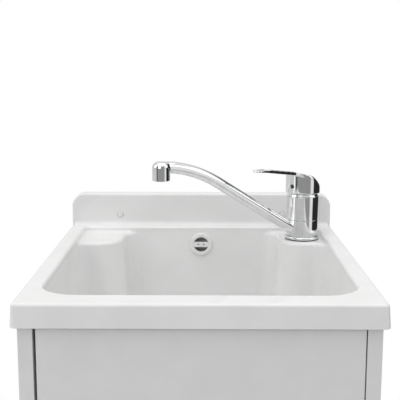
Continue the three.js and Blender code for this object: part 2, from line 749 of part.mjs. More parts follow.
function wasteFlange() {
  const outer = FLANGE_DIAMETER / 2;
  const profile = [
    [throatR + SEAT_WIDE, seatTop],
    [outer - 1, seatTop],
    [outer, seatTop - 0.8],
    [outer, drainRecessFloor + GAP],
    [neckR, drainRecessFloor + GAP],
    [neckR, neckEnd],
    [throatR, neckEnd],
    [throatR, seatTop - SEAT_DEEP],
  ];
  return join(turned(profile), spider(throatR + 0.5, neckEnd, gridTop, SCREW_DIAMETER / 2 + GAP));
}

function wasteGasket() {
  return ring(DRAIN_HOLE / 2, WASTE_TUBE / 2 + COLLAR_WIDE, collarTop + GAP, collarTop + GAP + GASKET);
}

function wasteBody() {
  const outer = WASTE_TUBE / 2;
  const inner = outer - TUBE_WALL;
  const spigot = SPIGOT_DIAMETER / 2;
  const profile = [
    [inner, collarTop],
    [outer + COLLAR_WIDE, collarTop],
    [outer + COLLAR_WIDE, collarTop - COLLAR_THICK],
    [outer, collarTop - COLLAR_THICK],
    [outer, wasteEnd],
    [spigot, coneEnd],
    [spigot, spigotEnd],
    [spigot - TUBE_WALL, spigotEnd],
    [spigot - TUBE_WALL, coneEnd],
    [inner, wasteEnd + 1],
  ];
  const bore = PIPE_DIAMETER / 2 + GAP;
  const stop = outer + PIPE_STOP;
  const socket = bar(bore + TUBE_WALL, inner - 2, stop + PIPE_SOCKET, 0, pipeZ, SMALL);
  const throat = bar(bore, stop, stop + PIPE_SOCKET + 1, 0, pipeZ, SMALL);
  const port = bar(bore - PIPE_WALL - GAP, inner - 4, stop + 1, 0, pipeZ);
  const hub = spider(inner + 0.5, neckEnd - 12, neckEnd - 4, SCREW_DIAMETER / 2 + GAP);
  const inside = rod(inner - 0.01, wasteEnd + 2, collarTop, 0, 0, MEDIUM);
  const side = cut(socket, inside);
  return cut(join(turned(profile), side, hub), throat, port);
}

function wasteScrew() {
  const shank = SCREW_DIAMETER / 2;
  const end = gridTop - SCREW_LENGTH;
  const profile = [
    [0, gridTop + 3],
    [4.5, gridTop + 2.4],
    [5, gridTop + GAP],
    [shank, gridTop + GAP],
    [shank, end],
    [0, end],
  ];
  return cut(turned(profile, SMALL), block(-6, 6, -0.7, 0.7, gridTop + 2, gridTop + 4));
}

function wastePlug() {
  const knob = PLUG_KNOB / 2;
  const wide = throatR + SEAT_WIDE - PLUG_CLEAR;
  const narrow = throatR - PLUG_CLEAR;
  const profile = [
    [0, seatTop + 8],
    [knob - 1, seatTop + 7.4],
    [knob, seatTop + 5],
    [knob * 0.6, seatTop + 1.8],
    [wide - 0.6, seatTop + 0.9],
    [wide, seatTop],
    [narrow, seatTop - SEAT_DEEP],
    [narrow - 0.6, seatTop - SEAT_DEEP - 2],
    [0, seatTop - SEAT_DEEP - 2],
  ];
  return turned(profile);
}

const trapTop = spigotEnd - 2 * GAP;
const trapShoulder = trapTop - TRAP_NECK;
const trapEnd = trapShoulder - TRAP_HEIGHT;
const outletZ = trapShoulder - OUTLET_DROP;
const outletStart = TRAP_DIAMETER / 2 + OUTLET_STUB;

// A hand-tightened nut with grips round it.
function gripNut(bore, outer, z0, z1, grips = 6) {
  const body = ring(bore, outer, z0, z1);
  const half = GRIP_WIDTH / 2;
  const lug = block(outer - 1, outer + GRIP_PROUD, -half, half, z0 + GRIP_PROUD, z1 - GRIP_PROUD);
  const lugs = Array.from({ length: grips }, (_, i) => lug.rotate([0, 0, (360 * i) / grips]));
  return join(body, ...lugs);
}

function trapNut() {
  const bore = SPIGOT_DIAMETER / 2 + GAP;
  return gripNut(bore, bore + NUT_WALL, trapTop - NUT_REACH, spigotEnd + NUT_REACH);
}

function trapBody() {
  const outer = TRAP_DIAMETER / 2;
  const inner = outer - TUBE_WALL;
  const neck = SPIGOT_DIAMETER / 2;
  const dip = DIP_DIAMETER / 2;
  const below = trapShoulder - TRAP_SHOULDER;
  const dipEnd = trapEnd - TRAP_CUP_HEIGHT / 2;
  const profile = [
    [neck - TUBE_WALL, trapTop],
    [neck, trapTop],
    [neck, trapShoulder + 2],
    [outer - TRAP_SHOULDER, trapShoulder],
    [outer, below],
    [outer, trapEnd],
    [inner, trapEnd],
    [inner, below - 1],
    [dip, trapShoulder - TUBE_WALL],
    [dip, dipEnd],
    [dip - TUBE_WALL, dipEnd],
    [dip - TUBE_WALL, trapShoulder],
  ];
  const tube = bar(OUTLET_DIAMETER / 2, inner - 2, outletStart, 0, outletZ, MEDIUM);
  const inside = rod(inner - 0.01, trapEnd, below - 1, 0, 0, MEDIUM);
  const bore = bar(OUTLET_DIAMETER / 2 - TUBE_WALL, dip + 1.5, outletStart + 1, 0, outletZ, MEDIUM);
  return cut(join(turned(profile), cut(tube, inside)), bore);
}

function trapCup() {
  const inner = TRAP_DIAMETER / 2 + GAP;
  const outer = inner + TUBE_WALL;
  const rim = trapEnd + TRAP_OVERLAP;
  const base = trapEnd - TRAP_CUP_HEIGHT;
  const profile = [
    [0, base],
    [outer - 14, base],
    [outer - 3, base + 9],
    [outer - 3, trapEnd - 8],
    [outer + 2, trapEnd - 3],
    [outer + 2, rim],
    [inner, rim],
    [inner, trapEnd - GAP],
    [inner - 3, trapEnd - 5],
    [inner - 3, base + 11],
    [outer - 16, base + TUBE_WALL],
    [0, base + TUBE_WALL],
  ];
  return turned(profile);
}

function outletNut() {
  const bore = OUTLET_DIAMETER / 2 + GAP;
  const nut = gripNut(bore, bore + NUT_WALL, outletStart - NUT_REACH, outletStart + NUT_REACH);
  return alongY(nut).translate([0, 0, outletZ]);
}

function outletPipe() {
  const outer = OUTLET_DIAMETER / 2;
  const length = wallPlane - drainY - OUTLET_TO_WALL;
  return alongY(ring(outer - TUBE_WALL, outer, outletStart + 2 * GAP, length)).translate([0, 0, outletZ]);
}

// ---------------------------------------------------------------- mixer tap, z = 0 on the ledge

const sealTop = GAP + TAP_SEAL;
const hubStart = sealTop + GAP;
const ringTop = hubStart + BASE_RING_HEIGHT;
const collarStart = ringTop + GAP;
const collarEnd = collarStart + COLLAR_HEIGHT;
const bodyStart = collarEnd + GAP;
const bodyTop = bodyStart + BODY_HEIGHT;
const hubRadius = HUB_DIAMETER / 2;
const pivotZ = bodyTop - PIVOT_BELOW_BODY_TOP;
const chamberR = CARTRIDGE_DIAMETER / 2 + GAP;
const chamberFloor = bodyTop - NUT_HEIGHT - CARTRIDGE_HEIGHT - 3 * GAP;
const waterRoomLow = collarStart + 8;
const waterRoomHigh = collarStart + 16;
const O_RING = 2.2;
const oRingLevels = [collarStart + 3, collarStart + 20];

function tapSeal() {
  return ring(TAP_HOLE / 2 - 0.5, BASE_RING_DIAMETER / 2 - 0.6, GAP, sealTop, FINE);
}

function tapBaseRing() {
  const outer = BASE_RING_DIAMETER / 2;
  const profile = [
    [hubRadius + GAP, hubStart],
    [outer, hubStart],
    [outer, ringTop - 2],
    [outer - 0.8, ringTop - 0.5],
    [outer - 2, ringTop],
    [hubRadius + GAP, ringTop],
  ];
  return turned(profile, FINE);
}

function tapBody() {
  const spigot = TAP_HOLE / 2 - 1;
  const low = COLLAR_DIAMETER / 2;
  const high = BODY_TOP_DIAMETER / 2;
  const profile = [
    [0, -WALL + 0.5],
    [spigot, -WALL + 0.5],
    [spigot, hubStart],
    [hubRadius, hubStart],
    ...oRingLevels.flatMap((z) => [
      [hubRadius, z],
      [hubRadius - 2, z],
      [hubRadius - 2, z + O_RING + GAP],
      [hubRadius, z + O_RING + GAP],
    ]),
    [hubRadius, bodyStart],
    [low, bodyStart],
    [high, bodyTop - 1],
    [high - 1, bodyTop],
    [chamberR, bodyTop],
    [chamberR, chamberFloor],
    [0, chamberFloor],
  ];
  const wayR = WAY_DIAMETER / 2;
  const inletTop = hubStart + INLET_SEAT;
  const tools = inletPlaces().flatMap(([x, y]) => [
    rod(INLET_DIAMETER / 2 + GAP, -WALL - 1, inletTop, x, y),
    rod(INLET_DIAMETER / 2 - 1, inletTop - 1, chamberFloor + 1, x, y),
  ]);
  const wayZ = (waterRoomLow + waterRoomHigh) / 2;
  return cut(
    turned(profile, FINE),
    ...tools,
    rod(wayR, wayZ, chamberFloor + 1, 0, -WAY_FORWARD),
    bar(wayR, -hubRadius - 1, -WAY_FORWARD, 0, wayZ),
    rod(STUD_DIAMETER / 2 + GAP, -WALL - 1, hubStart + STUD_SEAT, 0, STUD_BACK),
  );
}

function inletPlaces() {
  return [-INLET_SPACING / 2, INLET_SPACING / 2].map((x) => [x, -INLET_FORWARD]);
}

function swivelSeal(level) {
  const inner = hubRadius - 2 + GAP / 2;
  return ring(inner, hubRadius + GAP / 2, level + GAP / 2, level + GAP / 2 + O_RING, FINE);
}

// The spout's centre line, from the collar up the slope and over to the outlet.
function spoutPath(start, end) {
  const slope = Math.tan(degToRad(SPOUT_SLOPE));
  const heading = degToRad(SPOUT_HEADING);
  const at = (reach, z) => new THREE.Vector3(reach * Math.cos(heading), reach * Math.sin(heading), z);
  const level = (reach) => SPOUT_ROOT_LEVEL + reach * slope;
  const turnReach = (SPOUT_RISE - SPOUT_ROOT_LEVEL) / slope;
  const bendStart = at(SPOUT_STRAIGHT, level(SPOUT_STRAIGHT));
  const path = new THREE.CurvePath();
  path.add(new THREE.LineCurve3(at(start, level(start)), bendStart));
  const bend = new THREE.QuadraticBezierCurve3(bendStart, at(turnReach, SPOUT_RISE), at(end, SPOUT_RISE));
  path.add(bend);
  return path;
}

function outletPlace() {
  const heading = degToRad(SPOUT_HEADING);
  return [SPOUT_REACH * Math.cos(heading), SPOUT_REACH * Math.sin(heading)];
}

function spoutBody() {
  const bore = hubRadius + RUN;
  const outer = COLLAR_DIAMETER / 2;
  const collar = turned(
    [
      [bore, collarStart],
      [outer, collarStart],
      [outer, collarEnd],
      [bore, collarEnd],
      [bore, waterRoomHigh],
      [bore + 1.6, waterRoomHigh],
      [bore + 1.6, waterRoomLow],
      [bore, waterRoomLow],
    ],
    FINE,
  );
  const headR = HEAD_DIAMETER / 2;
  const domeR = SPOUT_DIAMETER / 2;
  const headTop = SPOUT_RISE + SPOUT_DIAMETER / 2;
  const head = turned(
    [
      [0, SPOUT_RISE - HEAD_DROP],
      [headR - 0.8, SPOUT_RISE - HEAD_DROP],
      [headR, SPOUT_RISE - HEAD_DROP + 0.8],
      ...arc(headR - domeR, headTop - domeR, domeR, 0, 75, 3),
      [0, headTop],
    ],
    FINE,
  ).translate([...outletPlace(), 0]);
  const tube = swept(spoutPath(hubRadius + 3, SPOUT_REACH), SPOUT_DIAMETER / 2, 6, SMALL);
  const outletLow = SPOUT_RISE - HEAD_DROP;
  const tools = [
    rod(bore, 0, collarEnd + 9, 0, 0, FINE),
    swept(spoutPath(hubRadius - 4, SPOUT_REACH - 3), SPOUT_BORE / 2, 4, TINY),
    rod(AERATOR_DIAMETER / 2 + GAP, outletLow - 1, outletLow + AERATOR_HEIGHT, ...outletPlace(), FINE),
    rod(AERATOR_DIAMETER / 2 - 3, outletLow, SPOUT_RISE + 2, ...outletPlace()),
  ];
  return join(collar, cut(join(head, tube), ...tools));
}

function aeratorHousing() {
  const outer = AERATOR_DIAMETER / 2;
  const low = SPOUT_RISE - HEAD_DROP;
  const inner = outer - AERATOR_WALL;
  const high = low + AERATOR_HEIGHT - GAP;
  const profile = [
    [inner, low - AERATOR_PROUD],
    [outer - 0.4, low - AERATOR_PROUD],
    [outer, low - AERATOR_PROUD / 2],
    [outer, high],
    [inner, high],
  ];
  return turned(profile, FINE).translate([...outletPlace(), 0]);
}

function aeratorInsert() {
  const radius = AERATOR_DIAMETER / 2 - AERATOR_WALL - GAP;
  const low = SPOUT_RISE - HEAD_DROP + AERATOR_WALL;
  const high = low + STRAINER_THICK;
  const disc = rod(radius, low, high, 0, 0, FINE);
  const places = [[0, 0], ...arc(0, 0, radius * 0.6, 0, 300, 5)];
  const drilled = cut(disc, ...places.map(([x, y]) => rod(STRAINER_HOLE / 2, low - 1, high + 1, x, y, 5)));
  return drilled.translate([...outletPlace(), 0]);
}

// The cartridge's three ports: hot and cold in, mixed water out.
function portPlaces() {
  return [...inletPlaces(), [0, -OUTLET_PORT_FORWARD]];
}

const shellLow = chamberFloor + GAP;
const shellHigh = shellLow + CARTRIDGE_HEIGHT;
const shellInner = CARTRIDGE_DIAMETER / 2 - CARTRIDGE_WALL;
const fixedDiscLow = shellLow + CARTRIDGE_FLOOR + GAP;
const fixedDiscHigh = fixedDiscLow + FIXED_DISC_THICK;
const tipZ = pivotZ - STEM_BELOW_PIVOT;
const slidingDiscLow = fixedDiscHigh + GAP;
const slidingDiscHigh = tipZ + SLIDING_DISC_RISE;
const guideLow = slidingDiscHigh + RUN;
const guideShoulder = shellHigh - GAP;
const nutLow = shellHigh + GAP;
const nutHigh = nutLow + NUT_HEIGHT;

function cartridgeShell() {
  const outer = CARTRIDGE_DIAMETER / 2;
  const profile = [
    [0, shellLow],
    [outer, shellLow],
    [outer, shellHigh],
    [shellInner, shellHigh],
    [shellInner, shellLow + CARTRIDGE_FLOOR],
    [0, shellLow + CARTRIDGE_FLOOR],
  ];
  const port = CARTRIDGE_PORT / 2;
  const ports = portPlaces().map(([x, y]) => rod(port, shellLow - 1, fixedDiscLow, x, y));
  return cut(turned(profile), ...ports);
}

function cartridgeFixedDisc() {
  const disc = rod(shellInner - GAP, fixedDiscLow, fixedDiscHigh, 0, 0, MEDIUM);
  const port = DISC_PORT / 2;
  const ports = portPlaces().map(([x, y]) => rod(port, fixedDiscLow - 1, fixedDiscHigh + 1, x, y));
  return cut(disc, ...ports);
}

// In the lever's frame: +X is the lever's heading.
function cartridgeSlidingDisc() {
  const back = -LIFT_TRAVEL / 2;
  const disc = rod(SLIDING_DISC / 2, slidingDiscLow, slidingDiscHigh, back, 0, MEDIUM);
  const reach = STEM_TIP_R + STEM_TIP_PLAY;
  return cut(disc, rod(reach, tipZ - reach, slidingDiscHigh + 1, 0, 0, SMALL));
}

function cartridgeGuide() {
  const neck = NUT_OPENING / 2 - RUN;
  const top = nutHigh - 0.5;
  const profile = [
    [0, guideLow],
    [shellInner - RUN, guideLow],
    [shellInner - RUN, guideShoulder],
    [neck, guideShoulder],
    [neck, top],
    [0, top],
  ];
  const side = STEM_WIDTH / 2 + GAP;
  const slot = block(-10, 10, -side, side, guideLow - 1, top + 1);
  const reach = STEM_PIN_LENGTH / 2 + 1;
  const pinHole = bar(STEM_PIN_DIAMETER / 2 + GAP, -reach, reach, 0, pivotZ);
  return cut(turned(profile), slot, pinHole);
}

function cartridgeNut() {
  const body = ring(NUT_OPENING / 2, chamberR - 2 * GAP, nutLow, nutHigh);
  const notch = block(-30, 30, -2, 2, nutHigh - 1.5, nutHigh + 1);
  return cut(body, notch, notch.rotate([0, 0, 90]));
}

// The polished ring between the body and the handle: a zone of a ball about the pivot.
function tapDomeRing() {
  const low = nutHigh + GAP;
  const high = low + DOME_HEIGHT;
  const zone = (radius, from, to) => {
    const start = THREE.MathUtils.radToDeg(Math.asin((from - pivotZ) / radius));
    const end = THREE.MathUtils.radToDeg(Math.asin((to - pivotZ) / radius));
    return arc(0, pivotZ, radius, start, end, 2);
  };
  const outside = zone(DOME_R, bodyTop + GAP, high);
  const inside = zone(DOME_R - DOME_THICK, bodyTop + GAP, high).reverse();
  return turned([...outside, ...inside], FINE);
}

const rimZ = bodyTop + HANDLE_GAP;

// The hood in the lever's frame: a round cap with a sloping top. Its edge is rounded at the
// back and the sides, and less so where the lever grows out of it.
function hoodTop(x) {
  return rimZ + HOOD_HEIGHT + (x + HANDLE_DIAMETER / 2) * Math.tan(degToRad(HOOD_SLOPE));
}

function hoodBody() {
  const half = HANDLE_DIAMETER / 2;
  const { smoothstep, radToDeg } = THREE.MathUtils;
  const spokes = Array.from({ length: FINE }, (_, i) => (2 * Math.PI * i) / FINE);
  const at = (radius, a, z) => new THREE.Vector3(radius * Math.cos(a), radius * Math.sin(a), z);
  const wall = [
    spokes.map((a) => at(half - 0.6, a, rimZ)),
    spokes.map((a) => at(half, a, rimZ + 0.6)),
  ];
  const edge = [0, 30, 60, 90].map(degToRad).map((turn) =>
    spokes.map((a) => {
      const fromLever = radToDeg(Math.acos(Math.cos(a)));
      const ease = HOOD_FRONT_R + (HOOD_R - HOOD_FRONT_R) * smoothstep(fromLever, 55, 115);
      const radius = half - ease * (1 - Math.cos(turn));
      return at(radius, a, hoodTop(radius * Math.cos(a)) - ease * (1 - Math.sin(turn)));
    }),
  );
  return solid(lofted([...wall, ...edge], fan));
}

// The lever's outlines, from the side and from above.
function leverSide() {
  const tip = rimZ + LEVER_RISE;
  const rootThick = LEVER_THICK + LEVER_ROOT_EXTRA;
  const root = hoodTop(LEVER_ROOT);
  const start = hoodTop(LEVER_START);
  const nose = LEVER_THICK * 0.3;
  const corners = [
    [LEVER_START, start - rootThick, 0.5, 1],
    [LEVER_ROOT - 10, root - rootThick, 10, 3],
    [LEVER_REACH - LEVER_CROWN / 2, tip - LEVER_THICK + 0.6, 60, 3],
    [LEVER_REACH, tip - LEVER_THICK + 1.6, nose, 3],
    [LEVER_REACH, tip, nose, 3],
    [LEVER_REACH - LEVER_CROWN, tip - 0.4, 90, 4],
    [LEVER_ROOT, root, 120, 4],
    [LEVER_START, start, 0.5, 1],
  ];
  return outline(corners);
}

function leverPlan() {
  const root = LEVER_ROOT_WIDTH / 2;
  const tip = LEVER_TIP_WIDTH / 2;
  const start = LEVER_START_WIDTH / 2;
  const corners = [
    [LEVER_START, -start, 1, 1],
    [LEVER_ROOT, -root, 40, 5],
    [LEVER_REACH, -tip, tip - 0.3, 6],
    [LEVER_REACH, tip, tip - 0.3, 6],
    [LEVER_ROOT, root, 40, 5],
    [LEVER_START, start, 1, 1],
  ];
  return outline(corners);
}

function tapHandle() {
  const half = HANDLE_DIAMETER / 2;
  const span = [rimZ - 1, rimZ + LEVER_RISE + 1];
  const side = solid(prism(leverSide(), -half, half).rotateX(Math.PI / 2));
  const lever = side.intersect(solid(prism(leverPlan(), ...span)));
  const room = new THREE.SphereGeometry(DOME_R + DOME_CLEAR, FINE, FINE / 2);
  const ball = solid(room.rotateX(Math.PI / 2)).translate([0, 0, pivotZ]);
  const bossLow = pivotZ + DOME_R - 5;
  const boss = rod(BOSS_DIAMETER / 2, bossLow, rimZ + HOOD_HEIGHT - 3, 0, 0, MEDIUM);
  const slotHalf = LEVER_SLOT_WIDTH / 2;
  const slotEnd = LEVER_REACH - 7 - slotHalf;
  const slotStart = slotEnd - LEVER_SLOT + LEVER_SLOT_WIDTH;
  const slot = join(
    block(slotStart, slotEnd, -slotHalf, slotHalf, ...span),
    rod(slotHalf, ...span, slotStart, 0),
    rod(slotHalf, ...span, slotEnd, 0),
  );
  const deep = STEM_DEPTH / 2 + GAP;
  const wide = STEM_WIDTH / 2 + GAP;
  const stemRoom = block(-deep, deep, -wide, wide, bossLow - 1, stemTop() + GAP);
  const screwBore = alongX(rod(GRUB_DIAMETER / 2 + GAP, 0, half + 2), screwZ());
  const plugR = INDICATOR_DIAMETER / 2 + GAP;
  const plugBore = alongX(rod(plugR, half - INDICATOR_SEAT, half + 2, 0, 0, SMALL), screwZ());
  return cut(join(cut(join(hoodBody(), lever), ball), boss), slot, stemRoom, screwBore, plugBore);
}

function stemTop() {
  return rimZ + STEM_ABOVE_RIM;
}

function screwZ() {
  return rimZ + INDICATOR_ABOVE_RIM;
}

// Turns a body made about Z so that its +Z points along +X, at the given level.
function alongX(body, z) {
  return body.rotate([0, 90, 0]).translate([0, 0, z]);
}

function handleStem() {
  const [deep, wide] = [STEM_DEPTH / 2, STEM_WIDTH / 2];
  const blade = block(-deep, deep, -wide, wide, tipZ + 4, stemTop());
  const neck = rod(STEM_NECK / 2, tipZ, tipZ + 5);
  const tip = solid(new THREE.SphereGeometry(STEM_TIP_R, 10, 6)).translate([0, 0, tipZ]);
  const pin = bar(STEM_PIN_DIAMETER / 2, -STEM_PIN_LENGTH / 2, STEM_PIN_LENGTH / 2, 0, pivotZ);
  return join(blade, neck, tip, pin);
}

function handleScrew() {
  const start = STEM_DEPTH / 2 + GAP;
  const end = HANDLE_DIAMETER / 2 - GRUB_IN;
  const socket = alongX(rod(GRUB_KEY / 2, end - 3, end + 1, 0, 0, 6), screwZ());
  return cut(alongX(rod(GRUB_DIAMETER / 2, start, end), screwZ()), socket);
}

function handleIndicator() {
  const radius = INDICATOR_DIAMETER / 2;
  const face = HANDLE_DIAMETER / 2 - 0.4;
  const profile = [
    [0, face + 0.5],
    [radius * 0.7, face + 0.3],
    [radius, face - 0.3],
    [radius, face - INDICATOR_SEAT + 0.8],
    [0, face - INDICATOR_SEAT + 0.8],
  ];
  return alongX(turned(profile, SMALL), screwZ());
}

const plateTop = -WALL - GAP;

function fixingPlate() {
  const disc = rod(PLATE_R, plateTop - PLATE_THICK, plateTop, 0, 0, MEDIUM);
  const reach = INLET_SPACING / 2 + INLET_DIAMETER / 2 + 1;
  const slot = join(
    block(-reach, reach, -PLATE_R - 1, -INLET_FORWARD, plateTop - PLATE_THICK - 1, plateTop + 1),
    block(-reach, reach, -INLET_FORWARD - 1, 2, plateTop - PLATE_THICK - 1, plateTop + 1),
  );
  const hole = rod(STUD_DIAMETER / 2 + GAP, plateTop - PLATE_THICK - 1, plateTop + 1, 0, STUD_BACK);
  return cut(disc, slot, hole);
}

function fixingStud() {
  const top = hubStart + STUD_SEAT - 1;
  return rod(STUD_DIAMETER / 2, top - STUD_LENGTH, top, 0, STUD_BACK);
}

function fixingNut() {
  const top = plateTop - PLATE_THICK - GAP;
  const radius = NUT_ACROSS / Math.sqrt(3);
  const hex = rod(radius, top - NUT_THICK, top, 0, STUD_BACK, 6);
  return cut(hex, rod(STUD_DIAMETER / 2 + GAP, top - NUT_THICK - 1, top + 1, 0, STUD_BACK));
}

function inletStub([x, y]) {
  const radius = INLET_DIAMETER / 2;
  const top = hubStart + INLET_SEAT - 1;
  const body = rod(radius, -INLET_LENGTH, top, x, y);
  return cut(body, rod(radius - INLET_WALL, -INLET_LENGTH - 1, top + 1, x, y));
}

// ---------------------------------------------------------------- cabinet, z = 0 on the floor

const cabinetFront = -DECK_DEPTH / 2 + CABINET_SETBACK;
const cabinetRear = wallPlane - CABINET_TO_WALL;
const cabinetHalf = DECK_WIDTH / 2 - CABINET_INSET;
const insideHalf = cabinetHalf - PANEL;
const panelTop = DECK_HEIGHT - WALL - GAP;
const bottomTop = FOOT_HEIGHT + PANEL;
const frontRailLow = DECK_HEIGHT - FRONT_RAIL_LOW;
const doorLow = bottomTop + DOOR_GAP;
const doorHigh = frontRailLow - DOOR_GAP;
const doorLeft = -insideHalf + DOOR_GAP_CATCH;
const doorRight = insideHalf - DOOR_GAP_HINGE;
const bowlIn = bowlHalf + WALL + GAP - insideHalf; // bowl's wall past the panels, at its top
const reliefLow = DECK_HEIGHT - LEDGE_DROP - bowlIn / Math.tan(draft);
const hingeX = doorRight - HINGE_IN;
const hingeY = cabinetFront + HINGE_BACK;

function footPlaces() {
  const x = cabinetHalf - PANEL / 2;
  const front = cabinetFront + FOOT_INSET;
  const rear = cabinetRear - FOOT_INSET;
  return [
    ["front_left", -x, front],
    ["front_right", x, front],
    ["rear_left", -x, rear],
    ["rear_right", x, rear],
  ];
}

function sidePanel(side) {
  const inner = side * insideHalf;
  const outer = side * cabinetHalf;
  const [x0, x1] = [Math.min(inner, outer), Math.max(inner, outer)];
  const panel = block(x0, x1, cabinetFront, cabinetRear, FOOT_HEIGHT, panelTop);
  const relief = side * (bowlHalf + WALL + RELIEF_CLEAR);
  const [r0, r1] = [Math.min(inner - side, relief), Math.max(inner - side, relief)];
  const reliefFront = bowlFront - WALL - RELIEF_CLEAR;
  const room = block(r0, r1, reliefFront, cabinetRear + 1, reliefLow, panelTop + 1);
  const stems = footPlaces()
    .filter(([, x]) => Math.sign(x) === side)
    .map(([, x, y]) => rod(FOOT_STEM / 2 + GAP, FOOT_HEIGHT - 1, FOOT_HEIGHT + FOOT_STEM_LENGTH + 2, x, y));
  return cut(panel, room, ...stems);
}

function bottomPanel() {
  const half = insideHalf - GAP;
  const panel = block(-half, half, cabinetFront, cabinetRear, FOOT_HEIGHT, bottomTop);
  return cut(panel, rod(PIN_DIAMETER / 2 + GAP, bottomTop - PIN_SEAT, bottomTop + 1, hingeX, hingeY));
}

function frontRail() {
  const half = insideHalf - GAP;
  const rail = block(-half, half, cabinetFront, cabinetFront + PANEL, frontRailLow, panelTop);
  return cut(rail, rod(PIN_DIAMETER / 2 + GAP, frontRailLow - 1, frontRailLow + PIN_SEAT, hingeX, hingeY));
}

function backRail(low) {
  const half = insideHalf - GAP;
  return block(-half, half, cabinetRear - PANEL, cabinetRear, low, low + BACK_RAIL);
}

function door() {
  const back = cabinetFront + PANEL;
  const corners = [
    [doorLeft, cabinetFront, DOOR_EDGE_R],
    [doorRight, cabinetFront, DOOR_EDGE_R],
    [doorRight, back, 1],
    [doorLeft, back, 1],
  ];
  const leaf = solid(prism(outline(corners, 3), doorLow, doorHigh));
  const socket = BUSH_DIAMETER / 2 + GAP;
  const deep = BUSH_LENGTH + 2 * GAP;
  const [knobX, knobZ] = knobPlace();
  return cut(
    leaf,
    rod(socket, doorLow - 1, doorLow + deep, hingeX, hingeY, SMALL),
    rod(socket, doorHigh - deep, doorHigh + 1, hingeX, hingeY, SMALL),
    bar(KNOB_STUD / 2 + GAP, cabinetFront - 1, back - 4, knobX, knobZ, MEDIUM),
  );
}

function knobPlace() {
  return [doorLeft + KNOB_IN, DECK_HEIGHT - KNOB_BELOW_DECK];
}

function doorKnob() {
  const radius = KNOB_DIAMETER / 2;
  const reach = KNOB_REACH;
  const profile = [
    [0, -PANEL + 5],
    [KNOB_STUD / 2, -PANEL + 5],
    [KNOB_STUD / 2, GAP],
    [radius * 0.62, GAP],
    [radius * 0.5, reach * 0.3],
    [radius * 0.62, reach * 0.52],
    ...arc(radius - 4, reach - 5, 4, -40, 50, 3),
    [radius * 0.5, reach - 0.4],
    [0, reach],
  ];
  const [x, z] = knobPlace();
  return turned(profile).rotate([90, 0, 0]).translate([x, cabinetFront, z]);
}

function doorPin(low) {
  return rod(PIN_DIAMETER / 2, low, low + PIN_SEAT + DOOR_GAP + BUSH_LENGTH - 4, hingeX, hingeY, SMALL);
}

function doorBush(low) {
  const inner = PIN_DIAMETER / 2 + BUSH_CLEAR;
  return ring(inner, BUSH_DIAMETER / 2, low, low + BUSH_LENGTH, SMALL).translate([hingeX, hingeY, 0]);
}

function doorCatch() {
  const [wide, deep, tall] = CATCH_SIZE;
  const left = -insideHalf + GAP;
  const front = cabinetFront + PANEL + CATCH_PLATE + 3 * GAP;
  const top = DECK_HEIGHT - CATCH_BELOW_DECK;
  return block(left, left + wide, front, front + deep, top - tall, top);
}

function catchPlate() {
  const [wide, tall] = CATCH_PLATE_SIZE;
  const left = doorLeft + 1;
  const front = cabinetFront + PANEL + GAP;
  const middle = DECK_HEIGHT - CATCH_BELOW_DECK - CATCH_SIZE[2] / 2;
  return block(left, left + wide, front, front + CATCH_PLATE, middle - tall / 2, middle + tall / 2);
}

function foot([, x, y]) {
  const pad = FOOT_DIAMETER / 2;
  const high = FOOT_HEIGHT - GAP;
  const profile = [
    [0, 0],
    [pad - 1, 0],
    [pad, 1],
    [pad, 6],
    [pad * 0.66, 10],
    [pad * 0.56, high],
    [FOOT_STEM / 2, high],
    [FOOT_STEM / 2, FOOT_HEIGHT + FOOT_STEM_LENGTH],
    [0, FOOT_HEIGHT + FOOT_STEM_LENGTH],
  ];
  return turned(profile, SMALL).translate([x, y, 0]);
}

// ---------------------------------------------------------------- the assembly

const sink = new THREE.Group();
const knobOverhang = KNOB_REACH - CABINET_SETBACK;
sink.position.y = knobOverhang / 2;

const deck = new THREE.Group();
deck.position.z = DECK_HEIGHT;
deck.add(
  piece("basin", basinBody(), MOULDED_WHITE),
  piece("fixing_cap_left", fixingCap(-FIXING_SPACING / 2), PLASTIC_WHITE),
  piece("fixing_cap_right", fixingCap(FIXING_SPACING / 2), PLASTIC_WHITE),
  piece("overflow_rosette", overflowRosette(), PLASTIC_WHITE),
  piece("overflow_gasket", overflowGasket(), RUBBER),
  piece("overflow_elbow", overflowElbow(), PLASTIC_WHITE),
  piece("overflow_pipe", overflowPipe(), PLASTIC_WHITE),
);

const drain = new THREE.Group();
drain.position.y = drainY;
drain.add(
  piece("waste_flange", wasteFlange(), STEEL),
  piece("waste_gasket", wasteGasket(), RUBBER),
  piece("waste_body", wasteBody(), PLASTIC_WHITE),
  piece("waste_screw", wasteScrew(), STEEL),
  piece("waste_plug", wastePlug(), RUBBER),
  piece("trap_nut", trapNut(), PLASTIC_WHITE),
  piece("trap_body", trapBody(), PLASTIC_WHITE),
  piece("trap_cup", trapCup(), PLASTIC_WHITE),
  piece("outlet_nut", outletNut(), PLASTIC_WHITE),
  piece("outlet_pipe", outletPipe(), PLASTIC_WHITE),
);
deck.add(drain);

const tap = new THREE.Group();
tap.position.set(tapX, tapY, -LEDGE_DROP);
tap.add(
  piece("tap_seal", tapSeal(), RUBBER),
  piece("tap_base_ring", tapBaseRing(), CHROME),
  piece("tap_body", tapBody(), CHROME),
  piece("spout", spoutBody(), CHROME),
  piece("aerator_housing", aeratorHousing(), CHROME),
  piece("aerator_insert", aeratorInsert(), PLASTIC_GREY),
  piece("cartridge_shell", cartridgeShell(), PLASTIC_GREY),
  piece("cartridge_fixed_disc", cartridgeFixedDisc(), CERAMIC),
  piece("cartridge_nut", cartridgeNut(), BRASS),
  piece("tap_dome_ring", tapDomeRing(), CHROME),
  piece("fixing_plate", fixingPlate(), STEEL),
  piece("fixing_stud", fixingStud(), STEEL),
  piece("fixing_nut", fixingNut(), BRASS),
);
oRingLevels.forEach((level, i) => {
  tap.add(piece("swivel_seal_" + ["lower", "upper"][i], swivelSeal(level), RUBBER));
});
